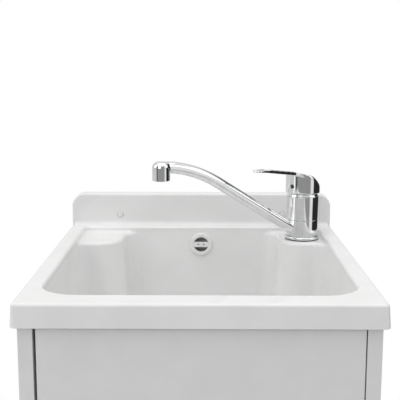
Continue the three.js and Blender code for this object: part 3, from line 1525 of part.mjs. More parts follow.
inletPlaces().forEach((place, i) => {
  tap.add(piece("inlet_" + ["hot", "cold"][i], inletStub(place), BRASS));
});

const lever = new THREE.Group();
lever.rotation.z = degToRad(LEVER_HEADING);
lever.add(
  piece("cartridge_sliding_disc", cartridgeSlidingDisc(), CERAMIC),
  piece("cartridge_guide", cartridgeGuide(), PLASTIC_GREY),
  piece("handle_stem", handleStem(), BRASS),
  piece("tap_handle", tapHandle(), CHROME),
  piece("handle_screw", handleScrew(), STEEL),
  piece("handle_indicator", handleIndicator(), INDICATOR_DARK),
);
tap.add(lever);
deck.add(tap);
sink.add(deck);

sink.add(
  piece("side_panel_left", sidePanel(-1), PANEL_WHITE),
  piece("side_panel_right", sidePanel(1), PANEL_WHITE),
  piece("bottom_panel", bottomPanel(), PANEL_WHITE),
  piece("front_rail", frontRail(), PANEL_WHITE),
  piece("back_rail_upper", backRail(DECK_HEIGHT - UPPER_RAIL_DROP), PANEL_WHITE),
  piece("back_rail_lower", backRail(bottomTop + GAP), PANEL_WHITE),
  piece("door", door(), PANEL_WHITE),
  piece("door_knob", doorKnob(), PLASTIC_WHITE),
  piece("door_pin_lower", doorPin(bottomTop - PIN_SEAT + GAP), STEEL),
  piece("door_pin_upper", doorPin(doorHigh - BUSH_LENGTH + 4 - GAP), STEEL),
  piece("door_bush_lower", doorBush(doorLow + GAP), PLASTIC_WHITE),
  piece("door_bush_upper", doorBush(doorHigh - GAP - BUSH_LENGTH), PLASTIC_WHITE),
  piece("door_catch", doorCatch(), PLASTIC_GREY),
  piece("catch_plate", catchPlate(), STEEL),
);
footPlaces().forEach((place) => {
  sink.add(piece("foot_" + place[0], foot(place), PLASTIC_GREY));
});

export default sink;
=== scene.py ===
import json
import math

import bmesh
import bpy
from mathutils import Matrix, Vector


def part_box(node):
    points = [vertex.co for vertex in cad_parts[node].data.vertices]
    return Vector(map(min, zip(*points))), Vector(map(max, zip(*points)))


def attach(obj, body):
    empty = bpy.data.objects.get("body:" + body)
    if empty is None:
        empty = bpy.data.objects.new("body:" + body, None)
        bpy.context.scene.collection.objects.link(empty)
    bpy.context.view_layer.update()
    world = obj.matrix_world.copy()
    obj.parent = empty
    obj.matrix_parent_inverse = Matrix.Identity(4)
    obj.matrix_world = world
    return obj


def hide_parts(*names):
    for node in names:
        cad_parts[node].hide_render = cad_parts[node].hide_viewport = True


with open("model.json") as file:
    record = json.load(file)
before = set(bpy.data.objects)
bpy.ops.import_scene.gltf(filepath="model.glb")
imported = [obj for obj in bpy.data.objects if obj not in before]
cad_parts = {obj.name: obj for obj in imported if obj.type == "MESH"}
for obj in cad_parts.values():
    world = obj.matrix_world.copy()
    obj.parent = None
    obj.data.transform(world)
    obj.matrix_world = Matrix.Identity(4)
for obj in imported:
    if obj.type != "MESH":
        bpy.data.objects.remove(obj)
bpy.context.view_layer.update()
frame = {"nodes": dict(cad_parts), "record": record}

# ---------------------------------------------------------------- sizes, in millimetres

METRE = 1000.0
OVERLAP = 1.0  # how far a tool reaches past the face it joins or cuts
GAP = 0.3  # between a piece and the hole or face it sits in

# Basin, about the middle of the deck
DECK_HEIGHT = 850.0
DECK_BEHIND = 8.0  # middle of the deck behind the middle of the whole object
DECK_HALF = 223.2
DECK_FRONT = -248.2
WALL_PLANE = 250.0
WALL = 4.5
APRON_DROP = 30.0
APRON_FLARE = 1.8
APRON_LIP_R = 1.0
DECK_CORNER_R = 6.0
REAR_CORNER_R = 1.0
DECK_EDGE_R = 4.0
BOWL_HALF = 199.0
BOWL_FRONT = -207.2
BOWL_REAR = 211.0
BOWL_EDGE_R = 4.0
BOWL_FRONT_R = 48.0
BOWL_REAR_R = 8.0
BOWL_DEPTH = 210.0
DRAFT_DEGREES = 4
DRAFT = math.radians(DRAFT_DEGREES)
BOWL_FOOT_R = 32.0
FLOOR_FALL = 4.0
LEDGE_DROP = 9.5
LEDGE_EDGE_R = 6.0
LEDGE_COVE_R = 4.0
COLUMN_R = 37.5
COLUMN_GROWTH = 0.25  # share of the draft that the column's radius takes up
REAR_COVE_R = 25.0
SIDE_COVE_R = 20.0
DRAIN_RECESS = 2.5
DRAIN_RECESS_R = 36.5
DRAIN_RECESS_EASE = 1.5
DRAIN_RIM = 2.0
DRAIN_HOLE_R = 26.0
DRAIN_Y = 6.8
TAP_HOLE_R = 17.5
SPLASH_FACE = 226.5
SPLASH_HEIGHT = 54.0
SPLASH_CORNER_R = 22.0
SPLASH_EDGE_R = 3.0
SPLASH_COVE_R = 7.0
SPLASH_POCKETS = 6
RIB = 3.0
FIXING_X = 140.0
FIXING_Z = 18.0
FIXING_BORE_R = 3.25
CAP_R = 5.5
CAP_SEAT = 4.0
CAP_PROUD = 1.2
CAP_WALL = 1.2
CAP_ROUNDNESS = 0.8
BOSS_WALL = 3.0
BOSS_SHORT = 0.3  # bosses' ends inside the plane of the ribs

# Overflow: its centre is given from the deck, and its pieces about its own axis, z = 0 on the bowl's wall
OVERFLOW_Z = -31.0
OVERFLOW_HOLE_R = 14.5
ROSETTE_R = 20.0
ROSETTE_OPENING_R = 12.5
ROSETTE_PROUD = 4.0
ROSETTE_EDGE_R = 3.4
ROSETTE_LIP_R = 1.2
ROSETTE_TUBE_END = 9.5
ROSETTE_BAR = (13.0, 4.5, 3.0)  # half length, half height, depth
EYE_R = 1.3
EYE_X = 4.4

# Mixer tap, about its own axis with z = 0 on the ledge
TAP_X = 167.0
TAP_Y = 162.8
FOOT_LOW = 1.6
FOOT_TOP = 6.1
FOOT_R = 28.0
FOOT_BORE_R = 19.3
FOOT_EDGE_R = 2.0
FOOT_SOLE_R = 0.8
COLLAR_LOW = 6.4
COLLAR_TOP = 32.9
COLLAR_R = 25.75
COLLAR_BORE_R = 19.5
EDGE_EASE = 0.5
BODY_LOW = 33.2
BODY_TOP = 72.5
BODY_TOP_R = 26.5
BODY_ROOM_R = 20.5
BODY_STEM_R = 19.0
BODY_SPIGOT_R = 16.5
BODY_SPIGOT_END = -4.0
BODY_FLOOR = 3.0
INLET_X = 6.3
INLET_Y = -4.0
INLET_HOLE_R = 5.2
STUD_Y = 10.0
STUD_HOLE_R = 4.3
PIVOT_Z = 62.5
BALL_R = 27.5
BALL_WALL = 2.0
BALL_ROOM = 1.5  # between the ball and the handle
BALL_RING = (0.3, 6.2)  # ring's edges above the body
RIM_Z = 77.5
HANDLE_R = 28.0
HOOD_HEIGHT = 21.0
HOOD_SLOPE = math.tan(math.radians(15))
HOOD_EASE = 16.0
HOOD_FRONT_EASE = 3.0
HOOD_EASE_START = 55.0  # degrees from the lever where the edge starts to round more
HOOD_EASE_SPAN = 60.0
LEVER_START = 12.0
LEVER_ROOT = 34.0
LEVER_REACH = 120.0
LEVER_RISE = 46.5
LEVER_THICK = 4.5
LEVER_HALF_WIDTHS = (23.0, 12.5, 8.5)  # at its start, its root and its tip
SLOT_HALF = 4.0
SLOT_ENDS = (27.0, 11.0)  # from the lever's tip
PLUG_Z = RIM_Z + 12
PLUG_HOLE_R = 3.8
PLUG_HOLE = (25.4, 31.0)
SPOUT_HEADING = math.radians(-150)
SPOUT_SLOPE = math.tan(math.radians(31.4))
SPOUT_ROOT = 5.5
SPOUT_STRAIGHT = 160.0
SPOUT_START = 22.0
SPOUT_REACH = 261.0
SPOUT_RISE = 134.2
SPOUT_R = 9.0
HEAD_R = 13.4
HEAD_LOW = 115.2
HEAD_TOP_R = 9.0
HEAD_SEAT_R = 12.3
HEAD_SEAT_DEPTH = 10.0
AERATOR_R = 12.0
AERATOR_BORE_R = 10.2
AERATOR_PROUD = 0.8
AERATOR_DEPTH = 9.7

# Cabinet, in the row frame: the side panels are cut back inside, beside the bowl
RELIEF_X = 207.0
RELIEF_FRONT = -207.2
RELIEF_LOW = 771.9
RELIEF_SPAN = 20.0
BOARD_EASE = 0.6
FIXED_BOARDS = (
    "side_panel_left", "side_panel_right", "bottom_panel", "front_rail", "back_rail_upper", "back_rail_lower",
)

# Numbers of faces and steps
TAP_SIDES = 96
MOUTH_STEPS = 18
COLUMN_STEPS = 16
FOOT_STEPS = 12

# Frames of the assemblies, in the row frame
DECK = Matrix.Translation((0, DECK_BEHIND, DECK_HEIGHT))
TAP = Matrix.Translation((TAP_X, DECK_BEHIND + TAP_Y, DECK_HEIGHT - LEDGE_DROP))
LEVER_TURN = math.radians(-134.5)
LEVER = TAP @ Matrix.Rotation(LEVER_TURN, 4, "Z")
ALONG_Y = Matrix.Rotation(math.radians(-90), 4, "X")
ALONG_X = Matrix.Rotation(math.radians(90), 4, "Y")


# ---------------------------------------------------------------- outlines and profiles


def arc(cx, cy, radius, start, end, steps):
    """Points on a circle from one angle to another, in degrees."""
    turns = [math.radians(start + (end - start) * i / steps) for i in range(steps + 1)]
    return [(cx + radius * math.cos(t), cy + radius * math.sin(t)) for t in turns]


def rounded(corners, steps=8):
    """A closed outline through (x, y, radius) corners, each rounded by an arc."""
    points = []
    for i, (x, y, radius, *own) in enumerate(corners):
        count = own[0] if own else steps
        here = Vector((x, y))
        back = (Vector(corners[i - 1][:2]) - here).normalized()
        ahead = (Vector(corners[(i + 1) % len(corners)][:2]) - here).normalized()
        half = math.acos(max(-1.0, min(1.0, back.dot(ahead)))) / 2
        centre = here + (back + ahead).normalized() * (radius / math.sin(half))
        start = here + back * (radius / math.tan(half)) - centre
        end = here + ahead * (radius / math.tan(half)) - centre
        turn = math.atan2(start.x * end.y - start.y * end.x, start.dot(end))
        for k in range(count + 1):
            a = turn * k / count
            c, s = math.cos(a), math.sin(a)
            points.append((centre.x + c * start.x - s * start.y, centre.y + s * start.x + c * start.y))
    return points


def section(*corners, steps=5):
    """A section through (radius, z) corners, where a third value rounds the corner."""
    sharp = (0, 1)
    return rounded([(*corner, steps) if len(corner) > 2 else (*corner, *sharp) for corner in corners])


def at_level(outline, z):
    return [(x, y, z) for x, y in outline]


# ---------------------------------------------------------------- bodies


def body_from(name, form):
    """An object whose mesh is this closed form, with its faces turned outwards."""
    bmesh.ops.remove_doubles(form, verts=form.verts, dist=1e-4)
    bmesh.ops.recalc_face_normals(form, faces=form.faces)
    mesh = bpy.data.meshes.new(name)
    form.to_mesh(mesh)
    form.free()
    body = bpy.data.objects.new(name, mesh)
    bpy.context.scene.collection.objects.link(body)
    return body


def lofted(name, rings):
    """A skin through rings of equally many points, closed by flat ends."""
    form = bmesh.new()
    rows = [[form.verts.new(p) for p in ring] for ring in rings]
    for low, high in zip(rows, rows[1:]):
        for i in range(len(low)):
            j = (i + 1) % len(low)
            form.faces.new((low[i], low[j], high[j], high[i]))
    form.faces.new(rows[0])
    form.faces.new(rows[-1])
    return body_from(name, form)


def turned(name, profile, sides=64):
    """(radius, z) pairs turned about Z: a closed section, or one that starts and ends on the axis."""
    form = bmesh.new()
    on_axis = profile[0][0] == 0 and profile[-1][0] == 0
    rows = []
    for radius, z in profile:
        if radius == 0:
            rows.append([form.verts.new((0, 0, z))])
            continue
        turns = [2 * math.pi * k / sides for k in range(sides)]
        rows.append([form.verts.new((radius * math.cos(t), radius * math.sin(t), z)) for t in turns])
    pairs = list(zip(rows, rows[1:])) + ([] if on_axis else [(rows[-1], rows[0])])
    for low, high in pairs:
        for k in range(sides):
            n = (k + 1) % sides
            if len(low) == 1 and len(high) == 1:
                continue
            if len(low) == 1:
                form.faces.new((low[0], high[n], high[k]))
            elif len(high) == 1:
                form.faces.new((low[k], low[n], high[0]))
            else:
                form.faces.new((low[k], low[n], high[n], high[k]))
    return body_from(name, form)


def rod(name, radius, low, high, x=0.0, y=0.0, sides=48):
    body = turned(name, [(0, low), (radius, low), (radius, high), (0, high)], sides)
    body.data.transform(Matrix.Translation((x, y, 0)))
    return body


def block(name, low, high, ease=0.0):
    """A box between two corners, its edges eased by a small radius."""
    form = bmesh.new()
    bmesh.ops.create_cube(form, size=1)
    size = Vector(high) - Vector(low)
    middle = (Vector(high) + Vector(low)) / 2
    place = Matrix.Translation(middle) @ Matrix.Diagonal((*size, 1))
    bmesh.ops.transform(form, matrix=place, verts=form.verts)
    if ease:
        bmesh.ops.bevel(form, geom=form.edges, offset=ease, segments=3, profile=0.5, affect="EDGES")
    return body_from(name, form)


def swept(name, points, radius, sides=40):
    """A round bar along a smooth line of points."""
    rings = []
    side = None
    for i, point in enumerate(points):
        before, after = points[max(i - 1, 0)], points[min(i + 1, len(points) - 1)]
        along = (after - before).normalized()
        side = (side - side.project(along)).normalized() if side else along.orthogonal().normalized()
        over = along.cross(side)
        turns = [2 * math.pi * k / sides for k in range(sides)]
        rings.append([point + side * radius * math.cos(t) + over * radius * math.sin(t) for t in turns])
    return lofted(name, rings)


def moved(body, matrix):
    body.data.transform(matrix)
    return body


def plain(body):
    """Bakes the body's modifiers into its mesh."""
    graph = bpy.context.evaluated_depsgraph_get()
    mesh = bpy.data.meshes.new_from_object(body.evaluated_get(graph))
    old = body.data
    body.modifiers.clear()
    body.data = mesh
    bpy.data.meshes.remove(old)
    return body


def worked(body, operation, tools):
    """Joins tools to a body, cuts them out of it, or keeps only what they share."""
    for tool in tools:
        step = body.modifiers.new("step", "BOOLEAN")
        step.operation = operation
        step.solver = "EXACT"
        step.object = tool
    plain(body)
    for tool in tools:
        bpy.data.objects.remove(tool)
    return body


def joined(body, *tools):
    return worked(body, "UNION", tools)


def cut(body, *tools):
    return worked(body, "DIFFERENCE", tools)


def melted(body, voxel, rounds):
    """Rounds off every edge, as polishing does: an even net of small faces, then smoothed."""
    net = body.modifiers.new("net", "REMESH")
    net.mode = "VOXEL"
    net.voxel_size = voxel
    ease = body.modifiers.new("ease", "SMOOTH")
    ease.factor = 0.5
    ease.iterations = rounds
    return plain(body)


def finished(body, matrix, rides, slot, finish, *nodes, sharp=32.0):
    """Shades a body, puts it in its place in metres, and makes it stand for its CAD nodes."""
    mesh = body.data
    mesh.shade_smooth()
    mesh.set_sharp_from_angle(angle=math.radians(sharp))
    even = body.modifiers.new("even", "WEIGHTED_NORMAL")
    even.keep_sharp = True
    plain(body)
    body.data.transform(Matrix.Diagonal((1 / METRE, 1 / METRE, 1 / METRE, 1)) @ matrix)
    if not body.data.materials:
        body.data.materials.append(finish)
    elif body.data.materials[0] is None:
        body.data.materials[0] = finish
    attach(body, rides)
    if nodes:
        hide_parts(*nodes)
    return body


# ---------------------------------------------------------------- finishes


class Finish:
    """A shader tree that reads the place on the object in metres."""

    def __init__(self, name, rough=0.4, metallic=0.0):
        self.material = bpy.data.materials.new(name)
        self.material.use_nodes = True
        self.tree = self.material.node_tree
        self.shader = self.tree.nodes["Principled BSDF"]
        self.shader.inputs["Metallic"].default_value = metallic
        self.shader.inputs["Roughness"].default_value = rough
        self.place = self.tree.nodes.new("ShaderNodeTexCoord").outputs["Object"]
        self.relief = None

    def stretched(self, x, y, z):
        """The place, counted in steps of these lengths in millimetres."""
        node = self.tree.nodes.new("ShaderNodeMapping")
        node.inputs["Scale"].default_value = (METRE / x, METRE / y, METRE / z)
        self.tree.links.new(self.place, node.inputs["Vector"])
        return node.outputs["Vector"]

    def noise(self, length, detail=2.0, place=None):
        """A soft pattern whose patches are about this long, in millimetres."""
        node = self.tree.nodes.new("ShaderNodeTexNoise")
        node.inputs["Scale"].default_value = 1.0 if place else METRE / length
        node.inputs["Detail"].default_value = detail
        self.tree.links.new(place or self.place, node.inputs["Vector"])
        return node.outputs["Fac"]

    def tint(self, pattern, *stops):
        """Colour along a pattern: (position, (r, g, b)) stops."""
        ramp = self.tree.nodes.new("ShaderNodeValToRGB")
        first, last = ramp.color_ramp.elements
        first.position, first.color = stops[0][0], (*stops[0][1], 1)
        last.position, last.color = stops[-1][0], (*stops[-1][1], 1)
        for position, colour in stops[1:-1]:
            ramp.color_ramp.elements.new(position).color = (*colour, 1)
        self.tree.links.new(pattern, ramp.inputs["Fac"])
        self.tree.links.new(ramp.outputs["Color"], self.shader.inputs["Base Color"])
        return self

    def gloss(self, pattern, low, high):
        """Roughness between two values, along a pattern."""
        span = self.tree.nodes.new("ShaderNodeMapRange")
        span.inputs["From Min"].default_value = 0.3
        span.inputs["From Max"].default_value = 0.7
        span.inputs["To Min"].default_value = low
        span.inputs["To Max"].default_value = high
        self.tree.links.new(pattern, span.inputs["Value"])
        self.tree.links.new(span.outputs["Result"], self.shader.inputs["Roughness"])
        return self

    def bump(self, pattern, depth, strength=1.0):
        """Relief of a depth in millimetres. A second call lies on the first."""
        node = self.tree.nodes.new("ShaderNodeBump")
        node.inputs["Strength"].default_value = strength
        node.inputs["Distance"].default_value = depth / METRE
        self.tree.links.new(pattern, node.inputs["Height"])
        if self.relief:
            self.tree.links.new(self.relief, node.inputs["Normal"])
        self.relief = node.outputs["Normal"]
        self.tree.links.new(self.relief, self.shader.inputs["Normal"])
        return self


def grey(level, warm=0.0):
    return (level * (1 + warm), level, level * (1 - warm))


def moulded_gloss():
    """Injection-moulded basin: deep gloss, a faint orange peel and slow sink marks."""
    f = Finish("moulded_gloss")
    f.shader.inputs["IOR"].default_value = 1.5
    f.tint(f.noise(70, 3), (0.35, grey(0.80, 0.004)), (0.65, grey(0.835, 0.002)))
    f.gloss(f.noise(9, 4), 0.07, 0.12)
    return f.bump(f.noise(45, 1), 0.05).bump(f.noise(1.6, 2), 0.0012).material


def satin_plastic(name, level, warm, low, high):
    """Small moulded fittings: satin, with the fine texture that spark erosion leaves in the mould."""
    f = Finish(name)
    f.tint(f.noise(12, 3), (0.3, grey(level * 0.96, warm)), (0.7, grey(level * 1.03, warm)))
    f.gloss(f.noise(2.5, 3), low, high)
    return f.bump(f.noise(0.5, 3), 0.006).material


def polished_chrome():
    """Plated brass: a mirror, with a very faint haze and the slow waves of hand polishing."""
    f = Finish("polished_chrome", metallic=1.0)
    f.tint(f.noise(18, 2), (0.3, (0.80, 0.805, 0.815)), (0.7, (0.86, 0.865, 0.87)))
    f.gloss(f.noise(6, 4), 0.03, 0.075)
    return f.bump(f.noise(14, 1), 0.006).material


def melamine():
    """White melamine on chipboard: satin, pressed with a fine pearl texture."""
    f = Finish("melamine")
    f.tint(f.noise(35, 4), (0.3, grey(0.74, 0.002)), (0.7, grey(0.765, 0.0)))
    f.gloss(f.noise(3, 3), 0.30, 0.40)
    return f.bump(f.noise(0.9, 2), 0.012).material


def turned_metal(name, dark, light, low, high):
    """Machined and plated metal, with the fine rings of the lathe."""
    f = Finish(name, metallic=1.0)
    f.tint(f.noise(5, 3), (0.3, dark), (0.7, light))
    f.gloss(f.noise(1.2, 3), low, high)
    return f.bump(f.noise(1, 2, f.stretched(9, 9, 0.35)), 0.006).material


def seal_rubber():
    f = Finish("seal_rubber")
    f.tint(f.noise(6, 4), (0.3, grey(0.018)), (0.7, grey(0.035)))
    f.gloss(f.noise(1.5, 3), 0.55, 0.75)
    return f.bump(f.noise(0.6, 3), 0.02).material


def lapped_ceramic():
    f = Finish("lapped_ceramic")
    f.tint(f.noise(4, 3), (0.3, grey(0.74, 0.02)), (0.7, grey(0.80, 0.02)))
    f.gloss(f.noise(1.2, 3), 0.12, 0.2)
    return f.bump(f.noise(0.3, 2), 0.002).material


MOULDED_GLOSS = moulded_gloss()
FITTING_WHITE = satin_plastic("fitting_white", 0.78, 0.004, 0.24, 0.36)
INNER_GREY = satin_plastic("inner_grey", 0.30, 0.0, 0.4, 0.55)
FOOT_GREY = satin_plastic("foot_grey_plastic", 0.10, 0.0, 0.42, 0.6)
INDICATOR = satin_plastic("indicator_plastic", 0.03, -0.1, 0.12, 0.2)
CHROME = polished_chrome()
MELAMINE = melamine()
BRASS = turned_metal("turned_brass", (0.60, 0.42, 0.17), (0.72, 0.53, 0.25), 0.2, 0.34)
ZINC = turned_metal("zinc_plated", (0.52, 0.53, 0.55), (0.66, 0.67, 0.68), 0.22, 0.38)
RUBBER = seal_rubber()
CERAMIC = lapped_ceramic()


# ---------------------------------------------------------------- basin, z = 0 on the deck


def inset_at(z):
    """How far the bowl's draft has drawn its walls in at this level."""
    return (-LEDGE_DROP - z) * math.tan(DRAFT)


def deck_ring(grow, rear, z):
    corners = [
        (-DECK_HALF - grow, DECK_FRONT - grow, DECK_CORNER_R + grow),
        (DECK_HALF + grow, DECK_FRONT - grow, DECK_CORNER_R + grow),
        (DECK_HALF + grow, rear, REAR_CORNER_R),
        (-DECK_HALF - grow, rear, REAR_CORNER_R),
    ]
    return at_level(rounded(corners, 8), z)


def deck_shell():
    lip = arc(APRON_FLARE - APRON_LIP_R, -APRON_DROP + APRON_LIP_R, APRON_LIP_R, -90, 0, 3)
    edge = arc(-DECK_EDGE_R, -DECK_EDGE_R, DECK_EDGE_R, 0, 90, 7)
    outside = lofted("deck", [deck_ring(out, WALL_PLANE, z) for out, z in lip + edge])
    hollow = lofted("deck_hollow", [
        deck_ring(APRON_FLARE - WALL, WALL_PLANE - WALL, -APRON_DROP - OVERLAP),
        deck_ring(-WALL, WALL_PLANE - WALL, -WALL),
    ])
    return cut(outside, hollow)


def splash_ring(inset, y):
    corners = [
        (-DECK_HALF + inset, -WALL, 0.5, 2),
        (DECK_HALF - inset, -WALL, 0.5, 2),
        (DECK_HALF - inset, SPLASH_HEIGHT - inset, SPLASH_CORNER_R - inset),
        (-DECK_HALF + inset, SPLASH_HEIGHT - inset, SPLASH_CORNER_R - inset),
    ]
    return [(x, y, z) for x, z in rounded(corners, 14)]


def splash_shell():
    """The upstand: a hollow moulding whose back is divided by ribs into pockets."""
    edge = arc(-SPLASH_EDGE_R, SPLASH_EDGE_R, SPLASH_EDGE_R, 0, -90, 6)
    faces = [splash_ring(-out, SPLASH_FACE + y) for out, y in edge]
    shell = lofted("splash", [splash_ring(0, WALL_PLANE), *faces])
    pitch = 2 * (DECK_HALF - WALL) / SPLASH_POCKETS
    pockets = []
    for i in range(SPLASH_POCKETS):
        left = -DECK_HALF + WALL + i * pitch
        ends = (WALL_PLANE + OVERLAP, SPLASH_FACE + WALL)
        pocket = lofted("room", [splash_ring(WALL, y) for y in ends])
        bay = block(
            "bay",
            (left + RIB / 2, SPLASH_FACE, 0),
            (left + pitch - RIB / 2, WALL_PLANE + 2 * OVERLAP, SPLASH_HEIGHT),
        )
        pockets.append(worked(pocket, "INTERSECT", [bay]))
    cut(shell, *pockets)
    front, back = SPLASH_FACE + WALL - OVERLAP, WALL_PLANE - BOSS_SHORT
    bosses = [boss(x, CAP_R + BOSS_WALL, front, back) for x in (-FIXING_X, FIXING_X)]
    return joined(shell, *bosses)


def boss(x, radius, front, back):
    """A round bar along Y at the height of the wall fixings."""
    return moved(rod("boss", radius, front, back), Matrix.Translation((x, 0, FIXING_Z)) @ ALONG_Y)


def splash_cove():
    curve = arc(SPLASH_FACE - SPLASH_COVE_R, SPLASH_COVE_R, SPLASH_COVE_R, -90, 0, 9)
    back = SPLASH_FACE + OVERLAP
    profile = [*curve, (back, SPLASH_COVE_R), (back, -OVERLAP), (curve[0][0], -OVERLAP)]
    ends = (-DECK_HALF + DECK_EDGE_R, DECK_HALF - DECK_EDGE_R)
    return lofted("cove", [[(x, y, z) for y, z in profile] for x in ends])


def mouth_ring(grow, z):
    corners = [
        (-BOWL_HALF - grow, BOWL_FRONT - grow, BOWL_FRONT_R + grow, MOUTH_STEPS),
        (BOWL_HALF + grow, BOWL_FRONT - grow, BOWL_FRONT_R + grow, MOUTH_STEPS),
        (BOWL_HALF + grow, BOWL_REAR + grow, BOWL_REAR_R + grow, 8),
        (-BOWL_HALF - grow, BOWL_REAR + grow, BOWL_REAR_R + grow, 8),
    ]
    return at_level(rounded(corners), z)


def mouth_room():
    """The room above the ledges, with a rounded edge at the deck and a hollow one at the ledges."""
    lip = arc(BOWL_EDGE_R, -BOWL_EDGE_R, BOWL_EDGE_R, 90, 180, 7)
    cove = arc(-LEDGE_COVE_R, LEDGE_COVE_R - LEDGE_DROP, LEDGE_COVE_R, 0, -90, 7)
    return lofted("mouth", [mouth_ring(out, z) for out, z in [(BOWL_EDGE_R, OVERLAP), *lip, *cove]])


def bowl_ring(inset, ease, grow, z):
    half = BOWL_HALF - inset + grow
    front = BOWL_FRONT + inset - grow
    rear = BOWL_REAR - inset + grow
    column = TAP_X - COLUMN_R - inset + ease + grow
    shelf = TAP_Y - COLUMN_R - inset + ease + grow
    column_r = COLUMN_R + COLUMN_GROWTH * inset - ease - grow
    corners = [
        (-half, front, BOWL_FRONT_R + grow, MOUTH_STEPS),
        (half, front, BOWL_FRONT_R + grow, MOUTH_STEPS),
        (half, shelf, SIDE_COVE_R + grow),
        (column, shelf, column_r, COLUMN_STEPS),
        (column, rear, REAR_COVE_R + grow),
        (-column, rear, REAR_COVE_R + grow),
        (-column, shelf, column_r, COLUMN_STEPS),
        (-half, shelf, SIDE_COVE_R + grow),
    ]
    return at_level(rounded(corners, 12), z)


def wall_section():
    """The bowl's wall from the ledge to the floor: inset, ease under the ledge's edge, z and tilt."""
    low = -BOWL_DEPTH + FLOOR_FALL + BOWL_FOOT_R
    foot_z = low - BOWL_FOOT_R * math.sin(DRAFT)
    centre = inset_at(foot_z) + BOWL_FOOT_R * math.cos(DRAFT)
    easing = arc(LEDGE_EDGE_R, -LEDGE_DROP - LEDGE_EDGE_R, LEDGE_EDGE_R, 90, 180, 9)
    foot = arc(centre, low, BOWL_FOOT_R, 180 + DRAFT_DEGREES, 270, FOOT_STEPS)
    levels = [(inset_at(z), ease, z, DRAFT) for ease, z in easing]
    for i, (inset, z) in enumerate(foot):
        levels.append((inset, 0, z, DRAFT + (math.pi / 2 - DRAFT) * i / FOOT_STEPS))
    return levels


def bowl_room(wall):
    """The bowl's room, or with a wall the outside of its shell."""
    rings = [
        bowl_ring(inset, ease, wall * math.cos(tilt), z - wall * math.sin(tilt))
        for inset, ease, z, tilt in wall_section()
    ]
    top = [(x, y, -LEDGE_DROP + WALL) for x, y, z in rings[0]]
    recess = DRAIN_RECESS_R + wall
    level = []
    for x, y, z in rings[-1]:
        spoke = Vector((x, y - DRAIN_Y)).normalized() * (DRAIN_RECESS_R + WALL + DRAIN_RIM)
        level.append((spoke.x, spoke.y + DRAIN_Y, -BOWL_DEPTH - wall))
    room = lofted("bowl", [top, *rings, level])
    low = -BOWL_DEPTH - DRAIN_RECESS - wall
    top = -BOWL_DEPTH + FLOOR_FALL
    ease = arc(recess - DRAIN_RECESS_EASE, low + DRAIN_RECESS_EASE, DRAIN_RECESS_EASE, -90, 0, 5)
    well = turned("well", [(0, low), *ease, (recess, top), (0, top)])
    return joined(room, moved(well, Matrix.Translation((0, DRAIN_Y, 0))))


def through_wall(body):
    """From a frame on the overflow's axis, with +Z through the wall, to the deck's frame."""
    place = Matrix.Translation((0, BOWL_REAR - inset_at(OVERFLOW_Z), OVERFLOW_Z))
    return moved(body, place @ Matrix.Rotation(-DRAFT, 4, "X") @ ALONG_Y)


def basin():
    """The whole moulding, with the holes for tap, waste, overflow and wall fixings."""
    low = -LEDGE_DROP - WALL
    ledges = lofted("ledges", [mouth_ring(WALL, -OVERLAP), mouth_ring(WALL - inset_at(low), low)])
    shell = joined(deck_shell(), splash_shell(), splash_cove(), ledges, bowl_room(WALL))
    front, sides = SPLASH_FACE - OVERLAP, (-FIXING_X, FIXING_X)
    tools = [
        mouth_room(),
        bowl_room(0),
        rod("tap_hole", TAP_HOLE_R, low - OVERLAP, OVERLAP, TAP_X, TAP_Y),
        rod("drain_hole", DRAIN_HOLE_R, -BOWL_DEPTH - 2 * WALL - OVERLAP, -BOWL_DEPTH, 0, DRAIN_Y),
        through_wall(rod("overflow_hole", OVERFLOW_HOLE_R, -WALL, 3 * WALL)),
        *[boss(x, FIXING_BORE_R, front, WALL_PLANE + OVERLAP) for x in sides],
        *[boss(x, CAP_R + GAP, front, SPLASH_FACE + CAP_SEAT + GAP) for x in sides],
    ]
    shell = cut(shell, *tools)
    shell.name = "moulded_basin"
    return finished(shell, DECK, "stand", "moulded_white", MOULDED_GLOSS, "basin", sharp=35)


def fixing_cap(name, x):
    """A small domed cap that closes a wall-fixing hole."""
    turns = [i * math.pi / 20 for i in range(10)]
    dome = [(CAP_R * math.sin(t), -CAP_PROUD * math.cos(t) ** CAP_ROUNDNESS) for t in turns]
    inside = CAP_R - CAP_WALL
    skirt = [(CAP_R, GAP), (CAP_R, CAP_SEAT), (inside, CAP_SEAT), (inside, CAP_WALL), (0, CAP_WALL)]
    cap = turned(name, [(0, -CAP_PROUD), *dome[1:], *skirt], 40)
    return moved(cap, Matrix.Translation((x, SPLASH_FACE, FIXING_Z)) @ ALONG_Y)


def overflow_rosette():
    """Push-in ring of the overflow, with a drilled bar across its opening."""
    edge, lip_r, proud = ROSETTE_EDGE_R, ROSETTE_LIP_R, ROSETTE_PROUD
    face = arc(ROSETTE_R - edge, edge - proud, edge, -90, 0, 8)
    lip = arc(ROSETTE_OPENING_R + lip_r, lip_r - proud, lip_r, 180, 270, 5)
    tube = OVERFLOW_HOLE_R - GAP
    back = [(ROSETTE_R, -GAP), (tube, -GAP), (tube, ROSETTE_TUBE_END), (ROSETTE_OPENING_R, ROSETTE_TUBE_END)]
    ring = turned("rosette_ring", [*lip, *face, *back], 80)
    length, height, depth = ROSETTE_BAR
    bar = block("bar", (-length, -height, -depth), (length, height, 0), 0.8)
    eyes = [rod("eye", EYE_R, -ROSETTE_PROUD - OVERLAP, 2 * OVERLAP, x, 0, 20) for x in (-EYE_X, EYE_X)]
    rosette = cut(joined(ring, bar), *eyes)
    return through_wall(rosette)


basin()
for side, x in (("left", -FIXING_X), ("right", FIXING_X)):
    cap = fixing_cap("wall_screw_cap_" + side, x)
    finished(cap, DECK, "stand", "plastic_white", FITTING_WHITE, "fixing_cap_" + side)
rosette = overflow_rosette()
rosette.name = "overflow_ring"
finished(rosette, DECK, "stand", "plastic_white", FITTING_WHITE, "overflow_rosette")


# ---------------------------------------------------------------- mixer tap, z = 0 on the ledge


